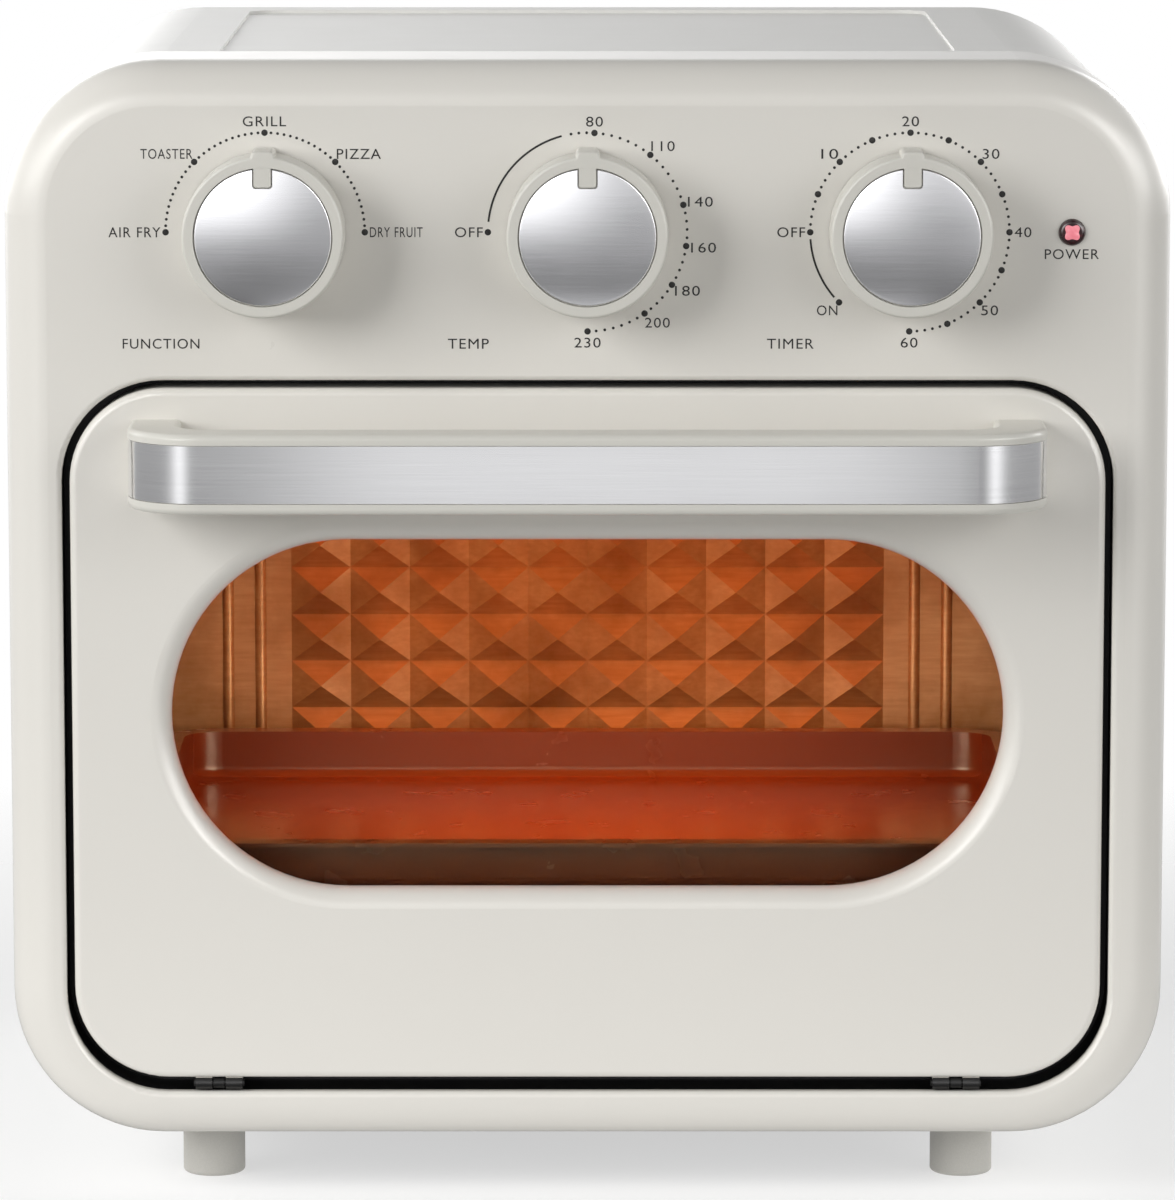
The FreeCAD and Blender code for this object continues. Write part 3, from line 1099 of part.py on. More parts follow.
def make_handle():
    front = "(Dims.face_y - Dims.handle_reach)"
    half = "Dims.handle_width / 2"
    handle = new_body("handle")
    profile = new_sketch(handle, "profile", "XY", "Dims.handle_base")
    c_loop(profile, "edge", half, "Dims.post_width", "Dims.face_y", front, "Dims.handle_bar",
           "Dims.handle_corner", "9")
    pad(handle, profile, "Dims.handle_height")
    low = number("Dims.handle_base")
    high = number("Dims.handle_base + Dims.handle_height")
    face = number("Dims.face_y")
    round_edges(handle, "rims", "1.6", lambda edge: any(
        abs(edge.BoundBox.ZMin - level) < 0.01 and abs(edge.BoundBox.ZMax - level) < 0.01
        for level in (low, high)) and edge.BoundBox.YMin < face - 0.5)
    groove = new_sketch(handle, "groove", "XY", "Dims.handle_base + Dims.strip_inset")
    c_loop(groove, "edge", f"{half} + 2", "2 + Dims.strip_sheet", "Dims.face_y - 5", f"{front} - 2",
           "(2 + Dims.strip_sheet)", "Dims.handle_corner + 2", "Dims.handle_corner - Dims.strip_sheet")
    pocket(handle, groove, "Dims.handle_height - 2 * Dims.strip_inset", reverse=True)
    bores = new_sketch(handle, "bores", "XZ", "Dims.face_y")
    for side in (-1, 1):
        circle(bores, f"bore_{side + 2}", f"{side} * {HANDLE_POST_X}", HANDLE_Z, "1.65")
    pocket(handle, bores, "14", reverse=True)

    strip = new_body("handle_strip")
    band = new_sketch(strip, "band", "XY", "Dims.handle_base + Dims.strip_inset + 0.1")
    c_loop(band, "edge", f"{half} - 0.15", "Dims.strip_sheet - 0.2", "Dims.face_y - 5.1",
           f"{front} + 0.15", "Dims.strip_sheet - 0.2", "Dims.handle_corner - 0.15",
           "Dims.handle_corner - Dims.strip_sheet + 0.05")
    pad(strip, band, "Dims.handle_height - 2 * Dims.strip_inset - 0.2")


def make_hinges():
    for name, side in (("left", -1), ("right", 1)):
        bracket = new_body(f"hinge_bracket_{name}")
        ear = new_sketch(bracket, "ear", "YZ", f"{side} * Dims.hinge_x - Dims.ear_sheet / 2")
        circle(ear, "nose", "Dims.hinge_y", "Dims.hinge_z", "Dims.ear_radius")
        pad(bracket, ear, "Dims.ear_sheet")
        arm = new_sketch(bracket, "arm", "YZ", f"{side} * Dims.hinge_x - Dims.ear_sheet / 2")
        span_loop(arm, "edge", "Dims.hinge_y", "Dims.cavity_front + 1.5",
                  "Dims.hinge_z - Dims.ear_radius", "Dims.hinge_z + Dims.ear_radius")
        pad(bracket, arm, "Dims.ear_sheet")
        foot = new_sketch(bracket, "foot", "XZ", "Dims.cavity_front + 2")
        rounded_loop(foot, "edge", f"{side} * Dims.hinge_x", "36.4", "18", "16.4", "2")
        pad(bracket, foot, "2")
        bore = new_sketch(bracket, "bore", "YZ", f"{side} * Dims.hinge_x + 4")
        circle(bore, "pin", "Dims.hinge_y", "Dims.hinge_z", "Dims.pin_radius + Dims.running_gap")
        pocket(bracket, bore, "8")

    pins = []
    for side in (-1, 1):
        start = Vector(side * number("Dims.hinge_x") - 7, number("Dims.hinge_y"),
                       number("Dims.hinge_z"))
        pins.append(Part.makeCylinder(number("Dims.pin_radius"), 14, start, Vector(1, 0, 0)))
    solid("hinge_pins", Part.makeCompound(pins))


# ---------------------------------------------------------------- assembly
make_front_panel()
make_outer_wrap()
make_base_plate()
make_rear_panel()
make_cord_gland()
for end_name in ("front", "rear"):
    for side_name, side_sign in (("left", -1), ("right", 1)):
        make_foot(f"foot_{end_name}_{side_name}", side_sign, end_name)
make_casing_screws()
make_front_frame()
make_cavity_liner()
make_rear_reflector()
make_fan_guard()
make_fan_housing()
TRAY = ("Dims.tray_half_width", "Dims.tray_front", "Dims.tray_back", "Dims.tray_corner")
CRUMB_TRAY = ("Dims.crumb_half_width", "Dims.crumb_front", "Dims.crumb_back", "Dims.crumb_depth")
make_pan("baking_tray", "(Dims.tray_rim_z - Dims.tray_depth + 1.2)", "Dims.tray_depth", TRAY,
         "Dims.tray_rim")
make_pan("crumb_tray", "(Dims.cavity_floor + 0.2)", "Dims.crumb_depth", CRUMB_TRAY)
make_heaters()
make_wire_rack()
make_thermostat_bulb()
make_heat_shield()
make_control_bracket()
make_control("function_switch", -1, "34", "34", "24", False)
make_control("thermostat", 0, "36", "36", "26", True)
make_control("timer", 1, "46", "44", "36", False)
for knob_name, knob_index in KNOBS:
    make_knob(knob_name, knob_index)
make_lamp()
make_motor()
make_fan("hot_air_fan", "246", "50", 12, -14)
make_fan("cooling_fan", "285", "32", 9, 9)
make_small_electrics()
make_door_outer_panel()
make_door_insides()
make_handle()
make_hinges()

document.recompute()
for item in document.Objects:
    if "Invalid" in item.State or "Error" in item.State:
        raise RuntimeError(f"{item.Name} failed: {item.State}")
for node, part in subparts.items():
    if part.Shape.isNull() or not part.Shape.isValid():
        raise RuntimeError(f"{node} has no valid shape")
for node, part in subparts.items():
    part.Shape.exportStep(f"parts/{node}.step")
print(len(subparts), "sub-parts written")
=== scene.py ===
import json
import math

import bmesh
import bpy
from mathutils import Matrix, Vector


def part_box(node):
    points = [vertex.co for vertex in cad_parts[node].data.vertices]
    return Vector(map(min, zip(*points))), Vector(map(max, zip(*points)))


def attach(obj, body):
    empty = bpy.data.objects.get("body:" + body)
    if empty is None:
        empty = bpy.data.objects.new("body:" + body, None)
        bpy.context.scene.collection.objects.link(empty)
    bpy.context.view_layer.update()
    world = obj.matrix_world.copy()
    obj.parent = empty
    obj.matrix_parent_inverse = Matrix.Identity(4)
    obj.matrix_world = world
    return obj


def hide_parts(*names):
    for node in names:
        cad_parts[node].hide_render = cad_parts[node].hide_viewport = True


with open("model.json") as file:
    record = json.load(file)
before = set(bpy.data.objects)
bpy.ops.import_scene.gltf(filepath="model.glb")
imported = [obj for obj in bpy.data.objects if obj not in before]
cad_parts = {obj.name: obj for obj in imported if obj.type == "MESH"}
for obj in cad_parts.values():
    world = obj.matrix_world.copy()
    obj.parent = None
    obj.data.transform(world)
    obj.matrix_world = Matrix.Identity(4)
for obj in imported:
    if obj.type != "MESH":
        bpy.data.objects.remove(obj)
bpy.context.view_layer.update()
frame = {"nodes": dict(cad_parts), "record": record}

NODES = frame["nodes"]
MM = 0.001
WHITE = (1, 1, 1, 1)


# ------------------------------------------------------------------ materials
def srgb(red, green, blue):
    """Linear colour from 0-255 display values."""
    def linear(value):
        value /= 255
        return value / 12.92 if value <= 0.04045 else ((value + 0.055) / 1.055) ** 2.4
    return (linear(red), linear(green), linear(blue), 1)


class Nodes:
    """A node tree, with short calls to add, join and calculate."""

    def __init__(self, tree):
        self.tree = tree
        tree.nodes.clear()

    def add(self, kind, **settings):
        node = self.tree.nodes.new(kind)
        for key, value in settings.items():
            setattr(node, key, value)
        return node

    def join(self, source, target):
        self.tree.links.new(source, target)

    def maths(self, operation, first, second=0):
        node = self.add("ShaderNodeMath", operation=operation)
        for index, value in enumerate((first, second)):
            if isinstance(value, (int, float)):
                node.inputs[index].default_value = value
            else:
                self.join(value, node.inputs[index])
        return node.outputs[0]

    def plus(self, first, second):
        return self.maths("ADD", first, second)

    def times(self, first, second):
        return self.maths("MULTIPLY", first, second)

    def lobe(self, value, middle, width):
        """A bell curve: 1 where value is middle, and 1/e at width from it."""
        off = self.maths("DIVIDE", self.maths("SUBTRACT", value, middle), width)
        return self.maths("POWER", math.exp(-1), self.times(off, off))

    def ramp(self, value, low, high, start=0.3, end=0.7, **settings):
        """Maps the range start to end of value to low to high."""
        node = self.add("ShaderNodeMapRange", **settings)
        for key, number in (("From Min", start), ("From Max", end), ("To Min", low), ("To Max", high)):
            node.inputs[key].default_value = number
        self.join(value, node.inputs["Value"])
        return node.outputs["Result"]

    def mixed(self, factor, first, second):
        """The first shader where factor is 0, the second where it is 1."""
        node = self.add("ShaderNodeMixShader")
        for index, source in enumerate((factor, first, second)):
            self.join(source, node.inputs[index])
        return node.outputs["Shader"]


class Graph(Nodes):
    """A material's node tree round one Principled shader."""

    def __init__(self, name):
        self.material = bpy.data.materials.new(name)
        self.material.use_nodes = True
        super().__init__(self.material.node_tree)
        self.output = self.add("ShaderNodeOutputMaterial")
        self.shader = self.add("ShaderNodeBsdfPrincipled")
        self.join(self.shader.outputs["BSDF"], self.output.inputs["Surface"])
        self.place = self.add("ShaderNodeTexCoord").outputs["Object"]

    def set(self, **values):
        for key, value in values.items():
            self.shader.inputs[key.replace("_", " ")].default_value = value

    def scaled(self, scale, turn=(0, 0, 0)):
        node = self.add("ShaderNodeMapping")
        node.inputs["Scale"].default_value = scale
        node.inputs["Rotation"].default_value = turn
        self.join(self.place, node.inputs["Vector"])
        return node.outputs["Vector"]

    def noise(self, scale, detail=3.0, roughness=0.5, vector=None):
        node = self.add("ShaderNodeTexNoise")
        node.inputs["Scale"].default_value = scale
        node.inputs["Detail"].default_value = detail
        node.inputs["Roughness"].default_value = roughness
        self.join(vector or self.place, node.inputs["Vector"])
        return node.outputs["Fac"]

    def blend(self, factor, first, second):
        node = self.add("ShaderNodeMix", data_type="RGBA")
        self.join(factor, node.inputs["Factor"])
        for index, colour in ((6, first), (7, second)):
            if isinstance(colour, tuple):
                node.inputs[index].default_value = colour
            else:
                self.join(colour, node.inputs[index])
        return node.outputs[2]

    def bump(self, *layers):
        """Bump from (height, strength, distance) layers, one on another."""
        normal = None
        for height, strength, distance in layers:
            node = self.add("ShaderNodeBump")
            node.inputs["Strength"].default_value = strength
            node.inputs["Distance"].default_value = distance
            self.join(height, node.inputs["Height"])
            if normal:
                self.join(normal, node.inputs["Normal"])
            normal = node.outputs["Normal"]
        self.join(normal, self.shader.inputs["Normal"])

    def colour(self, socket):
        self.join(socket, self.shader.inputs["Base Color"])

    def roughness(self, socket):
        self.join(socket, self.shader.inputs["Roughness"])


def coated(name, colour, rough, grain=2600.0, peel=0.12, coat=0.25, depth=0.00002):
    """Sprayed or moulded finish: faint mottling, orange peel and a thin clear coat."""
    net = Graph(name)
    dark = tuple(value * 0.985 for value in colour[:3]) + (1,)
    net.colour(net.blend(net.ramp(net.noise(14.0, 2.0), 0.0, 1.0, 0.1, 0.9), dark, colour))
    net.roughness(net.ramp(net.noise(60.0, 5.0), rough - 0.04, rough + 0.04, 0.1, 0.9))
    net.bump((net.noise(300.0, 1.0), peel, depth * 2), (net.noise(grain, 1.0), peel, depth))
    net.set(Coat_Weight=coat, Coat_Roughness=0.22, Specular_IOR_Level=0.5)
    return net.material


def brushed(name, colour, rough, stretch, strength=0.18, anisotropic=0.5, contrast=0.14, metallic=1.0):
    """Metal with fine parallel scratches; stretch is the texture scale along X, Y and Z."""
    net = Graph(name)
    lines = net.noise(1.0, 6.0, 0.62, net.scaled(stretch))
    broad = net.noise(30.0, 3.0)
    dark = tuple(value * (1 - contrast) for value in colour[:3]) + (1,)
    net.colour(net.blend(net.ramp(lines, 0.0, 1.0, 0.35, 0.65), dark, colour))
    rough_lines = net.ramp(lines, rough - contrast / 3, rough + contrast / 3, 0.3, 0.7)
    net.roughness(net.plus(rough_lines, net.ramp(broad, -0.02, 0.03)))
    net.bump((lines, strength, 0.00003))
    net.set(Metallic=metallic, Anisotropic=anisotropic)
    return net.material


def cast(name, colour, rough, metallic, scale=180.0, strength=0.2, spots=0.25):
    """Plain sheet, cast or moulded stuff with speckled colour and an uneven surface."""
    net = Graph(name)
    dark = tuple(value * (1 - spots) for value in colour[:3]) + (1,)
    speckle = net.noise(scale * 4, 6.0, 0.6)
    net.colour(net.blend(net.ramp(speckle, 0.0, 1.0, 0.35, 0.65), dark, colour))
    net.roughness(net.ramp(net.noise(scale, 4.0), max(rough - 0.1, 0.03), rough + 0.1))
    net.bump((speckle, strength, 0.00008))
    net.set(Metallic=metallic)
    return net.material


def galvanised(name):
    """Zinc-coated sheet with angular spangle."""
    net = Graph(name)
    cells = net.add("ShaderNodeTexVoronoi")
    cells.inputs["Scale"].default_value = 140.0
    net.join(net.place, cells.inputs["Vector"])
    spangle = net.ramp(cells.outputs["Color"], 0.0, 1.0, 0.2, 0.8)
    net.colour(net.blend(spangle, srgb(148, 150, 152), srgb(186, 188, 190)))
    net.roughness(net.ramp(spangle, 0.34, 0.5, 0.0, 1.0))
    net.bump((net.noise(900.0, 3.0), 0.1, 0.00004))
    net.set(Metallic=1.0)
    return net.material


def glowing(name, colour, heat, strength):
    """An oxidised heater sheath that glows unevenly along its length."""
    net = Graph(name)
    net.colour(net.blend(net.noise(400.0, 5.0), colour, tuple(value * 0.5 for value in colour[:3]) + (1,)))
    net.roughness(net.ramp(net.noise(700.0, 4.0), 0.5, 0.8))
    net.bump((net.noise(1500.0, 4.0), 0.3, 0.00006))
    uneven = net.times(net.ramp(net.noise(35.0, 2.0), 0.7, 1.2), strength)
    net.join(uneven, net.shader.inputs["Emission Strength"])
    net.set(Emission_Color=heat, Metallic=0.4)
    return net.material


def glazing(name):
    """Clear glass with a faint warm tint and a trace of haze."""
    net = Graph(name)
    net.colour(net.blend(net.noise(8.0, 2.0), (0.985, 0.91, 0.74, 1), (0.97, 0.89, 0.71, 1)))
    net.roughness(net.ramp(net.noise(90.0, 4.0), 0.0, 0.03, 0.4, 0.8))
    net.set(Transmission_Weight=1.0, IOR=1.12)
    return net.material


def sooted_steel(name):
    """Aluminised oven liner: rolled streaks, baked-on haze and a few darker stains."""
    net = Graph(name)
    lines = net.noise(1.0, 5.0, 0.6, net.scaled((60.0, 700.0, 700.0)))
    stain = net.ramp(net.noise(26.0, 5.0, 0.62), 0.0, 1.0, 0.42, 0.72)
    steel = net.blend(net.ramp(lines, 0.0, 1.0, 0.3, 0.7), srgb(176, 152, 126), srgb(194, 172, 146))
    net.colour(net.blend(stain, steel, srgb(140, 112, 84)))
    net.roughness(net.ramp(stain, 0.40, 0.58, 0.0, 1.0))
    net.bump((lines, 0.12, 0.00003))
    net.set(Metallic=0.8, Specular_IOR_Level=0.4)
    return net.material


def lens(name, light, dark, glow):
    """Moulded lens with small facets, lit from behind."""
    net = Graph(name)
    facets = net.add("ShaderNodeTexVoronoi")
    facets.inputs["Scale"].default_value = 900.0
    net.join(net.place, facets.inputs["Vector"])
    net.colour(net.blend(net.ramp(facets.outputs["Distance"], 0.0, 1.0, 0.1, 0.6), light, dark))
    net.roughness(net.ramp(net.noise(500.0), 0.12, 0.25))
    net.set(Coat_Weight=0.6, Emission_Color=light, Emission_Strength=glow)
    return net.material


MATERIALS = {
    "enamel_front": coated("enamel_front", srgb(226, 223, 216), 0.30, coat=0.6),
    "enamel_casing": coated("enamel_casing", srgb(224, 223, 219), 0.40, grain=3600.0, peel=0.2, coat=0.2),
    "enamel_trim": coated("enamel_trim", srgb(213, 211, 203), 0.34, coat=0.3),
    "galvanised_sheet": galvanised("galvanised_sheet"),
    "black_enamel": coated("black_enamel", srgb(18, 17, 17), 0.45, coat=0.1),
    "door_liner": coated("door_liner", srgb(34, 32, 31), 0.42, coat=0.1),
    "black_plastic": cast("black_plastic", srgb(28, 28, 29), 0.5, 0.0, 300.0, 0.15),
    "cavity_steel": sooted_steel("cavity_steel"),
    "heater_sheath": glowing("heater_sheath", srgb(70, 55, 50), srgb(255, 96, 24), 2.2),
    "ceramic": cast("ceramic", srgb(226, 222, 210), 0.6, 0.0, 500.0, 0.15, 0.1),
    "chromed_wire": cast("chromed_wire", srgb(214, 214, 216), 0.18, 1.0, 90.0, 0.05, 0.1),
    "bronze_enamel": coated("bronze_enamel", srgb(72, 37, 23), 0.26, coat=0.5),
    "copper_tube": brushed("copper_tube", srgb(196, 128, 96), 0.32, (900.0, 60.0, 900.0), 0.12, 0.2),
    "control_metal": cast("control_metal", srgb(190, 190, 184), 0.36, 1.0, 120.0, 0.08, 0.12),
    "lamp_lens": lens("lamp_lens", srgb(70, 8, 16), srgb(36, 2, 8), 0.02),
    "nylon": cast("nylon", srgb(232, 229, 216), 0.5, 0.0, 300.0, 0.1, 0.06),
    "laminations": brushed("laminations", srgb(120, 120, 124), 0.42, (30.0, 30.0, 2600.0), 0.6, 0.0),
    "winding_tape": brushed("winding_tape", srgb(196, 156, 60), 0.5, (700.0, 40.0, 40.0), 0.5, 0.0,
                            metallic=0.0),
    "bright_steel": brushed("bright_steel", srgb(206, 206, 208), 0.26, (800.0, 800.0, 800.0), 0.08, 0.0),
    "door_glass": glazing("door_glass"),
    "brushed_strip": brushed("brushed_strip", srgb(248, 248, 250), 0.12, (30.0, 30.0, 4000.0), 0.04,
                             anisotropic=0.0, contrast=0.05),
    "brushed_disc": brushed("brushed_disc", srgb(240, 240, 243), 0.15, (40.0, 900.0, 4000.0), 0.02,
                            anisotropic=0.0, contrast=0.04),
    "print_ink": cast("print_ink", srgb(26, 25, 24), 0.7, 0.0, 900.0, 0.05, 0.1),
    "lamp_glow": lens("lamp_glow", srgb(240, 150, 160), srgb(222, 112, 126), 0.4),
    # Near black so the hinge parts sink into the shaded gap below the door: painted shade.
    "dark_steel": cast("dark_steel", srgb(16, 16, 16), 0.5, 0.2, 300.0, 0.1, 0.2),
    "cold_sheath": cast("cold_sheath", srgb(66, 58, 54), 0.6, 0.4, 400.0, 0.2, 0.3),
    "foot_rubber": cast("foot_rubber", srgb(186, 184, 178), 0.62, 0.0, 700.0, 0.2, 0.08),
}


def dress(thing, slot):
    thing.data.materials.clear()
    thing.data.materials.append(MATERIALS[slot])


def smooth_by_angle(thing, degrees=32.0):
    for polygon in thing.data.polygons:
        polygon.use_smooth = True
    thing.data.set_sharp_from_angle(angle=math.radians(degrees))


# Finishes that differ from the rest of their slot. The lower heaters are unlit sheath. The crumb tray and the
# hinge pins and brackets are made near black as painted shade, so they read as the shade under the tray and
# in the gap below the door.
SPECIAL = {"crumb_tray": "black_enamel", "hinge_pins": "dark_steel",
           "hinge_bracket_left": "dark_steel", "hinge_bracket_right": "dark_steel",
           "lower_heater_front": "cold_sheath", "lower_heater_rear": "cold_sheath"}
for row in frame["record"]["subparts"]:
    node = NODES[row["node"]]
    node.data.materials.clear()
    node.data.materials.append(MATERIALS[SPECIAL.get(row["node"], row["material_slot"])])
    smooth_by_angle(node)

# The hinge lugs below the door's lower edge are given black enamel as painted shade, so they sink into the
# dark gap under the door.
door = NODES["door_outer_panel"].data
door.materials.append(MATERIALS["black_enamel"])
DOOR_EDGE = 35.05 * MM
for polygon in door.polygons:
    if max(door.vertices[index].co.z for index in polygon.vertices) < DOOR_EDGE:
        polygon.material_index = 1


# ------------------------------------------------------------------ pieces made here
FACE_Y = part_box("front_panel")[0].y
DISC_RADIUS = 18.65 * MM
NOTCH_HALF = 2.75 * MM
NOTCH_FLOOR = 13.2 * MM
NOTCH_ROUND = 0.9 * MM


def centre(node):
    low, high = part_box(node)
    return (low + high) / 2


def on_circle(radius, angle):
    """X and Z offsets of a point on a circle, by the angle clockwise from the top."""
    return radius * math.sin(angle), radius * math.cos(angle)


def mesh_object(name, bm, angle=32.0):
    bmesh.ops.recalc_face_normals(bm, faces=bm.faces)
    mesh = bpy.data.meshes.new(name)
    bm.to_mesh(mesh)
    bm.free()
    thing = bpy.data.objects.new(name, mesh)
    bpy.context.collection.objects.link(thing)
    smooth_by_angle(thing, angle)
    return thing


def apply_modifiers(thing):
    graph = bpy.context.evaluated_depsgraph_get()
    mesh = bpy.data.meshes.new_from_object(thing.evaluated_get(graph))
    thing.modifiers.clear()
    thing.data = mesh
    return thing


def lathe(bm, profile, place, segments=96, outline=None):
    """Turns (radius, depth) pairs about the axis that points out of the oven's front at place.

    outline scales the radius by angle.  The first and last radius are zero, so the form is closed.
    """
    rings = []
    for radius, depth in profile:
        if radius == 0:
            rings.append([bm.verts.new(place + Vector((0, -depth, 0)))])
            continue
        ring = []
        for step in range(segments):
            angle = math.tau * step / segments
            across, up = on_circle(radius * (outline(angle) if outline else 1), angle)
            ring.append(bm.verts.new(place + Vector((across, -depth, up))))
        rings.append(ring)
    for inner, outer in zip(rings, rings[1:]):
        for step in range(segments):
            after = (step + 1) % segments
            quad = [inner[step % len(inner)], inner[after % len(inner)], outer[after % len(outer)],
                    outer[step % len(outer)]]
            bm.faces.new(list(dict.fromkeys(quad)))


def skin(bm, sections):
    """Joins closed sections of equal length, each a list of points, into a capped solid."""
    rows = [[bm.verts.new(point) for point in section] for section in sections]
    for before, after in zip(rows, rows[1:]):
        for side in range(len(before)):
            other = (side + 1) % len(before)
            bm.faces.new((before[side], before[other], after[other], after[side]))
    bm.faces.new(rows[0])
    bm.faces.new(rows[-1][::-1])


def notch_cutter(name, foot):
    """The block that cuts a disc's notch, its lower corners rounded, standing on foot."""
    size = Vector((2 * NOTCH_HALF, 6 * MM, 8 * MM))
    middle = foot + Vector((0, 0, size.z / 2))
    bm = bmesh.new()
    bmesh.ops.create_cube(bm, size=1)
    for vertex in bm.verts:
        vertex.co = middle + Vector(a * b for a, b in zip(vertex.co, size))
    lower = [edge for edge in bm.edges
             if abs(edge.verts[0].co.y - edge.verts[1].co.y) > MM and edge.verts[0].co.z < middle.z]
    bmesh.ops.bevel(bm, geom=lower, offset=NOTCH_ROUND, segments=6, affect="EDGES", profile=0.5)
    return mesh_object(name, bm)


def knob_face(name, knob):
    """The satin metal inlay of a knob: a thin, slightly crowned disc notched round the pointer."""
    axis = centre(f"{knob}_shaft")
    place = Vector((axis.x, 0, axis.z))
    near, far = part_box(f"{knob}_knob_disc")
    front, back = -near.y, -far.y
    crown, edge = 0.75 * MM, 0.3 * MM
    rings, sweep = 28, 6
    profile = [(0, back), (DISC_RADIUS, back)]
    for step in range(sweep + 1):
        angle = math.pi / 2 * step / sweep
        profile.append((DISC_RADIUS - edge * (1 - math.cos(angle)), front - edge * (1 - math.sin(angle))))
    flat = DISC_RADIUS - edge
    for step in range(1, rings + 1):
        radius = flat * (1 - step / rings)
        profile.append((max(radius, 0), front + crown * (1 - (radius / flat) ** 2)))
    bm = bmesh.new()
    lathe(bm, profile, place, 160)
    disc = mesh_object(name, bm)

    cutter = notch_cutter(f"{name}_cutter", place + Vector((0, -front, NOTCH_FLOOR)))
    cut = disc.modifiers.new("notch", "BOOLEAN")
    cut.operation = "DIFFERENCE"
    cut.solver = "EXACT"
    cut.object = cutter
    apply_modifiers(disc)
    bpy.data.objects.remove(cutter)
    smooth_by_angle(disc, 28.0)
    dress(disc, "brushed_disc")
    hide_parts(f"{knob}_knob_disc")
    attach(disc, f"{knob}_dial")


def handle_band():
    """The metal strip let into the handle: a thin band bent round both ends of the bar."""
    low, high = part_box("handle_strip")
    bend, thickness, bevel = 19.85 * MM, 0.7 * MM, 0.12 * MM
    steps, spans = 20, 40
    path = [(low.x, high.y, math.pi)]
    for side, start in ((-1, math.pi), (1, 1.5 * math.pi)):
        middle = Vector((side * (high.x - bend), low.y + bend))
        for step in range(steps + 1):
            angle = start + math.pi / 2 * step / steps
            path.append((middle.x + bend * math.cos(angle), middle.y + bend * math.sin(angle), angle))
        if side < 0:
            run = high.x - low.x - 2 * bend
            path += [(low.x + bend + run * step / spans, low.y, 1.5 * math.pi) for step in range(1, spans)]
    path.append((high.x, high.y, 2 * math.pi))
    section = [(0, low.z + bevel), (0, high.z - bevel), (bevel, high.z), (thickness, high.z),
               (thickness, low.z), (bevel, low.z)]
    bm = bmesh.new()
    skin(bm, [[(x - inset * math.cos(angle), y - inset * math.sin(angle), z) for inset, z in section]
              for x, y, angle in path])
    band = mesh_object("handle_band", bm)
    dress(band, "brushed_strip")
    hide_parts("handle_strip")
    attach(band, "door")


def lamp_core():
    """The moulded, four-lobed window in the neon lamp's lens."""
    low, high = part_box("power_lamp")
    place = Vector(((low.x + high.x) / 2, 0, (low.z + high.z) / 2))
    front, rings = -low.y, 6
    radius, sunk, proud, crown = 2.2 * MM, 0.3 * MM, 0.03 * MM, 0.22 * MM
    profile = [(0, front - sunk), (radius, front - sunk)]
    for step in range(rings + 1):
        share = 1 - step / rings
        profile.append((radius * share, front + crown * (1 - share ** 2) + proud))
    bm = bmesh.new()
    lathe(bm, profile, place, 64, lambda angle: 0.80 + 0.34 * math.sin(2 * angle) ** 2)
    core = mesh_object("power_lamp_window", bm)
    core.data.materials.append(MATERIALS["lamp_glow"])
    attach(core, "chassis")


# ------------------------------------------------------------------ printed scales
RING = 27.2 * MM
INK = 0.04 * MM
CAP_HEIGHT = 2.75 * MM
BIG_DOT = 0.9 * MM
SMALL_DOT = 0.4 * MM


def add_dot(bm, x, z, radius):
    place = Vector((x, FACE_Y, z))
    lathe(bm, [(0, 0), (radius, 0), (radius * 0.94, INK * 0.8), (0, INK)], place, 20)


def add_arc(bm, x, z, start, end, width=0.55 * MM):
    """A printed line along the ring, from start to end degrees clockwise from the top."""
    inner, outer = RING - width / 2, RING + width / 2
    steps = max(4, round(abs(end - start) / 2))
    sections = []
    for step in range(steps + 1):
        angle = math.radians(start + (end - start) * step / steps)
        section = []
        for radius, depth in ((inner, 0), (inner, INK), (outer, INK), (outer, 0)):
            across, up = on_circle(radius, angle)
            section.append((x + across, FACE_Y - depth, z + up))
        sections.append(section)
    skin(bm, sections)


def add_text(bm, text, x, z, width):
    """Upright lettering on the front, its middle at x and z, stretched to its width."""
    curve = bpy.data.curves.new("lettering", "FONT")
    curve.body = text
    curve.size = 1.0
    curve.extrude = 0.01
    curve.resolution_u = 4
    curve.space_character = 1.12
    maker = bpy.data.objects.new("lettering", curve)
    bpy.context.collection.objects.link(maker)
    bpy.context.view_layer.update()
    graph = bpy.context.evaluated_depsgraph_get()
    mesh = bpy.data.meshes.new_from_object(maker.evaluated_get(graph))
    bpy.data.objects.remove(maker)
    xs = [v.co.x for v in mesh.vertices]
    ys = [v.co.y for v in mesh.vertices]
    zs = [v.co.z for v in mesh.vertices]
    across, up = width / (max(xs) - min(xs)), CAP_HEIGHT / (max(ys) - min(ys))
    for vertex in mesh.vertices:
        flat = vertex.co.copy()
        vertex.co = (x + (flat.x - (max(xs) + min(xs)) / 2) * across,
                     FACE_Y - (flat.z - min(zs)) / (max(zs) - min(zs)) * INK,
                     z + (flat.y - (max(ys) + min(ys)) / 2) * up)
    bm.from_mesh(mesh)


def ring_label(bm, x, z, angle, text, width):
    """Text beside its mark on the ring: outside it, and to the left or right on the flanks."""
    side, rise = on_circle(1, math.radians(angle))
    lift = 3.1 * MM
    gap = 1.9 * MM * side ** 2 - 0.5 * MM
    shift = math.copysign(width / 2 + gap, side) if abs(side) > 0.2 else 0
    add_text(bm, text, x + RING * side + shift, z + RING * rise + lift * rise, width)


def finish_print(name, bm):
    marks = mesh_object(name, bm, 50.0)
    marks.data.materials.append(MATERIALS["print_ink"])
    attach(marks, "chassis")


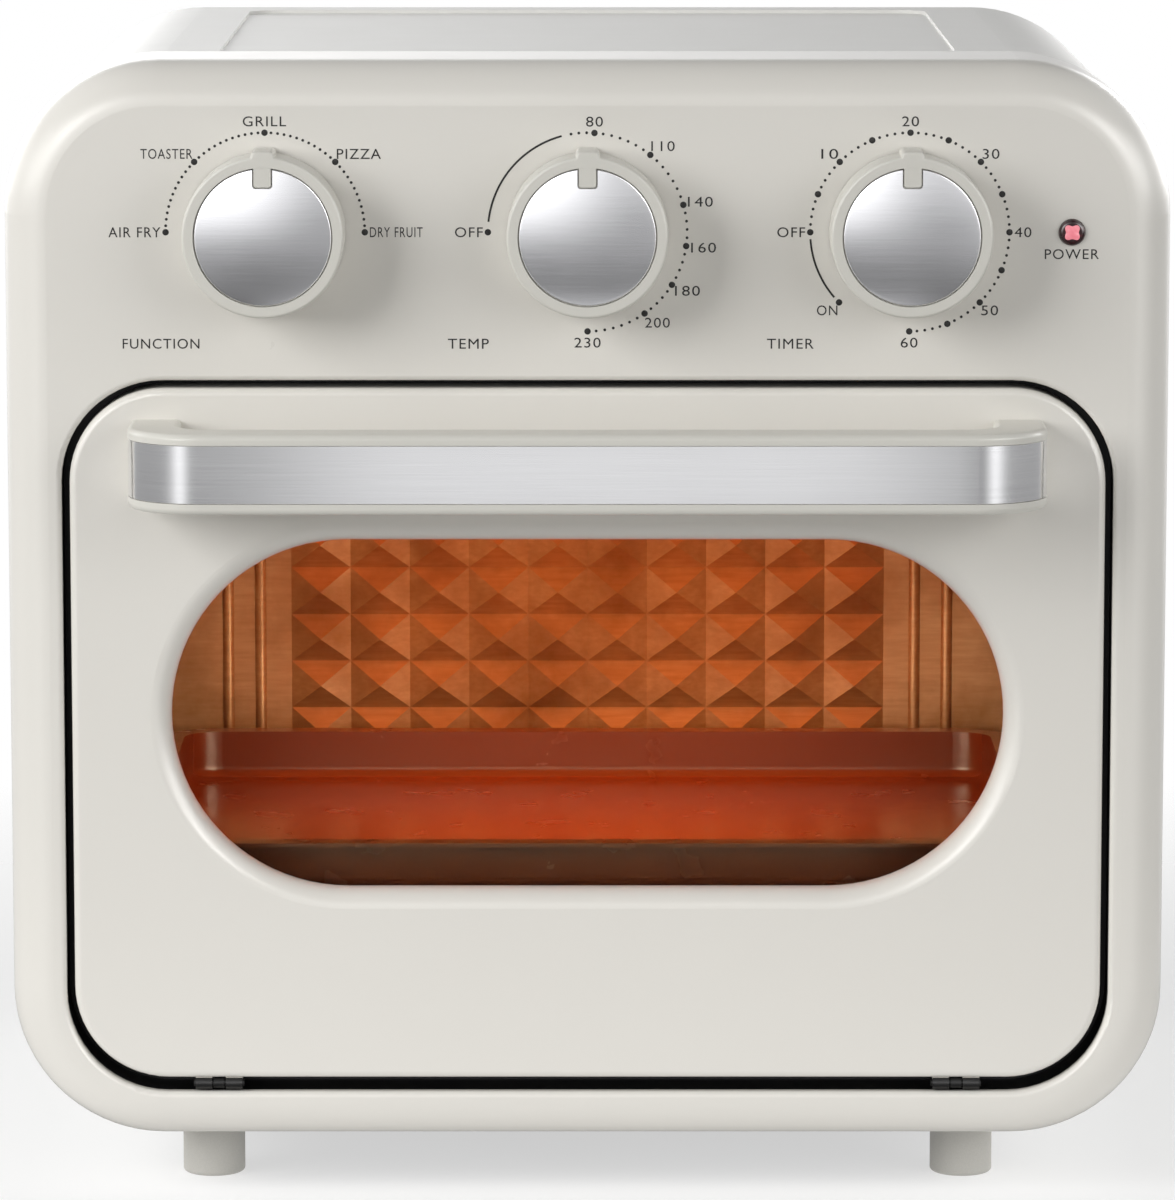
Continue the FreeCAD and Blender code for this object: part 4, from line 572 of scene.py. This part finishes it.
def dial_scale(knob, title, title_place, marks, arcs, fine, labels):
    """One dial's print: its title, big dots at marks, small dots by fine, arcs and labels.

    Angles are in degrees clockwise from the top.  A row of fine is (start, end, spaces), with a dot between
    spaces, and a row of labels is (angle, text, width in mm).  title_place is (x, z, width) in mm.
    """
    x, z = centre(f"{knob}_shaft").x, centre(f"{knob}_shaft").z
    bm = bmesh.new()
    dots = [(angle, BIG_DOT) for angle in marks]
    for start, end, count in fine:
        dots += [(start + (end - start) * step / count, SMALL_DOT) for step in range(1, count)]
    for angle, radius in dots:
        across, up = on_circle(RING, math.radians(angle))
        add_dot(bm, x + across, z + up, radius)
    for start, end in arcs:
        add_arc(bm, x, z, start, end)
    for angle, text, width in labels:
        ring_label(bm, x, z, angle, text, width * MM)
    add_text(bm, title, x + title_place[0] * MM, z + title_place[1] * MM, title_place[2] * MM)
    finish_print(f"{knob}_scale", bm)


def make_prints():
    title_row = -30.6
    quarter = 45
    modes = [(-90, "AIR FRY", 14.2), (-45, "TOASTER", 14.2), (0, "GRILL", 11.8), (45, "PIZZA", 12.0),
             (90, "DRY FRUIT", 14.4)]
    turns = [row[0] for row in modes]
    dial_scale("function", "FUNCTION", (-28.7, title_row, 21.0), turns, [],
               [(angle, angle + quarter, 12) for angle in turns[:-1]], modes)
    off = (-90, "OFF", 7.6)
    heats = [(4, "80", 4.6), (39, "110", 6.4), (74, "140", 6.8), (98, "160", 6.8), (122, "180", 6.8),
             (145, "200", 6.8), (180, "230", 7.2)]
    stops = [-14] + [row[0] for row in heats]
    dial_scale("temp", "TEMP", (-32.6, title_row, 11.2), [off[0]] + stops[1:], [(-84, -15)],
               [(low, high, max(3, round((high - low) / 5))) for low, high in zip(stops, stops[1:])],
               [off] + heats)
    five_minutes = 22.5
    minutes = [(quarter * (index - 1), str(10 * (index + 1)), 4.6) for index in range(6)]
    ticks = [off[0] + five_minutes * index for index in range(13)]
    dial_scale("timer", "TIMER", (-32.5, title_row, 12.8), [-135] + ticks, [(-94, -131)],
               [(tick, tick + five_minutes, 5) for tick in ticks[:-1]],
               [off, (-135, "ON", 5.6)] + minutes)
    bm = bmesh.new()
    lamp = centre("power_lamp")
    word_drop, word_width = 6.0 * MM, 14.8 * MM
    add_text(bm, "POWER", lamp.x, lamp.z - word_drop, word_width)
    finish_print("power_word", bm)


# ------------------------------------------------------------------ stage, lights and camera
def make_floor():
    """A pale floor that fades into the white background away from the oven."""
    half, fade_start, fade_end = 1.2, 0.24, 0.6
    bm = bmesh.new()
    bmesh.ops.create_grid(bm, x_segments=16, y_segments=16, size=half)
    mesh = bpy.data.meshes.new("floor")
    bm.to_mesh(mesh)
    bm.free()
    floor = bpy.data.objects.new("floor", mesh)
    bpy.context.collection.objects.link(floor)
    net = Graph("floor_paint")
    net.colour(net.blend(net.noise(3.0), (0.44, 0.44, 0.44, 1), (0.46, 0.46, 0.46, 1)))
    net.set(Roughness=0.9, Specular_IOR_Level=0.1, Emission_Color=WHITE, Emission_Strength=0.56)
    distance = net.add("ShaderNodeVectorMath", operation="LENGTH")
    net.join(net.place, distance.inputs[0])
    fade = net.ramp(distance.outputs["Value"], 0.0, 1.0, fade_start, fade_end)
    clear = net.add("ShaderNodeBsdfTransparent")
    net.join(net.mixed(fade, net.shader.outputs["BSDF"], clear.outputs["BSDF"]), net.output.inputs["Surface"])
    mesh.materials.append(net.material)
    floor.visible_glossy = False


def make_card():
    """A soft glowing card in front of the handle that only reflections see."""
    low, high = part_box("handle_strip")
    half_width, half_height, away, aside, tilt = 0.16, 0.016, 0.2, 0.01, 0.129
    brightness, spread_square = 0.42, 0.0185
    bm = bmesh.new()
    bmesh.ops.create_grid(bm, x_segments=8, y_segments=2, size=1)
    for vertex in bm.verts:
        vertex.co = Vector((vertex.co.x * half_width, 0, vertex.co.y * half_height))
    card = mesh_object("strip_card", bm)
    card.location = (aside, low.y - away, (low.z + high.z) / 2 - tilt * away)
    net = Graph("card_glow")
    net.tree.nodes.remove(net.shader)
    split = net.add("ShaderNodeSeparateXYZ")
    net.join(net.place, split.inputs["Vector"])
    across = split.outputs["X"]
    fade = net.ramp(net.times(across, across), brightness, 0.0, 0.0, spread_square,
                  interpolation_type="SMOOTHERSTEP")
    glow = net.add("ShaderNodeEmission")
    clear = net.add("ShaderNodeBsdfTransparent")
    both = net.add("ShaderNodeAddShader")
    net.join(fade, glow.inputs["Strength"])
    net.join(glow.outputs["Emission"], both.inputs[0])
    net.join(clear.outputs["BSDF"], both.inputs[1])
    net.join(both.outputs["Shader"], net.output.inputs["Surface"])
    card.data.materials.append(net.material)
    card.visible_camera = card.visible_diffuse = card.visible_shadow = card.visible_transmission = False


def area_light(name, place, aim, size, power, colour=WHITE[:3]):
    """A rectangular light at place that faces aim and shows in no reflection."""
    light = bpy.data.lights.new(name, "AREA")
    light.shape = "RECTANGLE"
    light.size, light.size_y = size
    light.energy = power
    light.color = colour
    holder = bpy.data.objects.new(name, light)
    bpy.context.collection.objects.link(holder)
    holder.location = place
    holder.rotation_euler = (Vector(aim) - Vector(place)).to_track_quat("-Z", "Y").to_euler()
    holder.visible_camera = False
    holder.visible_glossy = False
    return light


def make_lights():
    """A key from the left and a weaker fill from the right, and two glows inside the cavity."""
    front = (0, -0.1, 0.18)
    area_light("key", (-1.05, -0.757, 0.65), front, (0.7, 0.7), 12.5)
    area_light("fill", (0.95, -0.85, 0.42), front, (0.8, 0.8), 4.5)
    warm = (1.0, 0.25, 0.035)
    area_light("oven_back_glow", (0, -0.03, 0.13), (0, 0.124, 0.14), (0.12, 0.05), 0.46, warm)
    roof = area_light("oven_roof_glow", (0, 0.045, 0.2), (0, 0.045, 0.0), (0.19, 0.1), 0.42, warm)
    roof.spread = math.radians(84)


def dome_light(net, sideways, height):
    """Soft light for matt surfaces, strongest a little above the horizon and to both sides."""
    base = 0.05
    sides = net.plus(net.times(net.lobe(sideways, 0.85, 0.3), 0.62), 0.46)
    band = net.times(net.lobe(height, 0.34, 0.24), sides)
    dome = net.add("ShaderNodeBackground")
    dome.inputs["Color"].default_value = WHITE
    net.join(net.plus(band, base), dome.inputs["Strength"])
    return dome.outputs["Background"]


def reflected_room(net, across, sideways, height):
    """What gloss and metal mirror: dark below and pale above, with panels to the left and right."""
    ramp_node = net.add("ShaderNodeValToRGB")
    ramp = ramp_node.color_ramp
    for position, value in ((0.0, 0.13), (0.19, 0.15), (0.375, 0.24), (0.51, 0.38), (0.7, 0.74), (0.85, 0.97),
                            (1.0, 1.0)):
        stop = ramp.elements.new(position)
        stop.color = (value, value, value, 1)
    ramp.elements.remove(ramp.elements[0])
    ramp.elements.remove(ramp.elements[-1])
    net.join(net.ramp(height, 0.0, 1.0, -0.3, 0.1), ramp_node.inputs["Fac"])

    # Tall panels mirrored by rounded edges: a low pair, and above the horizon two corners and two boxes.
    low_pair = net.times(net.lobe(sideways, 0.52, 0.2), 1.05)
    left_corner = net.times(net.lobe(across, -0.78, 0.18), 1.1)
    right_corner = net.times(net.lobe(across, 0.78, 0.18), 2.4)
    corners = net.plus(left_corner, right_corner)
    boxes = net.times(net.times(net.lobe(sideways, 0.42, 0.18), net.lobe(height, 0.32, 0.18)), 3.6)
    panels = net.plus(low_pair, net.times(net.plus(corners, boxes), net.ramp(height, 0.0, 1.0, -0.05, 0.12)))

    # Just below the horizon, where the dials' discs look, the left is brighter than the right.
    near = net.times(across, net.lobe(sideways, 0.0, 0.2))
    slant = net.plus(net.times(net.ramp(height, 0.0, -6.0, -0.105, -0.07), near), 1.0)
    zenith = net.ramp(height, 1.0, 0.3, 0.28, 0.5)

    ambient, gain = 0.62, 1.9
    level = net.times(net.times(net.times(net.plus(panels, ambient), gain), slant), zenith)
    mirrored = net.add("ShaderNodeBackground")
    net.join(ramp_node.outputs["Color"], mirrored.inputs["Color"])
    net.join(level, mirrored.inputs["Strength"])
    return mirrored.outputs["Background"]


def make_world():
    """White to the camera, a soft dome for matt surfaces, and a room for gloss and metal to mirror."""
    world = bpy.data.worlds.new("studio")
    bpy.context.scene.world = world
    world.use_nodes = True
    net = Nodes(world.node_tree)
    split = net.add("ShaderNodeSeparateXYZ")
    net.join(net.add("ShaderNodeTexCoord").outputs["Generated"], split.inputs["Vector"])
    across, height = split.outputs["X"], split.outputs["Z"]
    sideways = net.maths("ABSOLUTE", across)
    white = net.add("ShaderNodeBackground")
    white.inputs["Color"].default_value = WHITE
    ray = net.add("ShaderNodeLightPath")
    lit = net.mixed(ray.outputs["Is Glossy Ray"], dome_light(net, sideways, height),
                  reflected_room(net, across, sideways, height))
    seen = net.mixed(ray.outputs["Is Camera Ray"], lit, white.outputs["Background"])
    net.join(seen, net.add("ShaderNodeOutputWorld").inputs["Surface"])


def make_camera():
    """A long lens looking slightly down at the oven's front."""
    pitch = math.radians(8.4845)
    eye = Vector((0, -1.9877, 0.4499))
    camera = bpy.data.cameras.new("camera")
    camera.sensor_width = 36.0
    camera.lens = 207.2
    camera.clip_start = 0.01
    holder = bpy.data.objects.new("camera", camera)
    bpy.context.collection.objects.link(holder)
    holder.location = eye
    holder.rotation_euler = (math.pi / 2 - pitch, 0, 0)
    bpy.context.scene.camera = holder


for knob in ("function", "temp", "timer"):
    knob_face(f"{knob}_dial_face", knob)
lamp_core()
handle_band()
make_prints()
make_floor()
make_card()
make_world()
make_lights()
make_camera()
bpy.context.scene.view_settings.view_transform = "Standard"
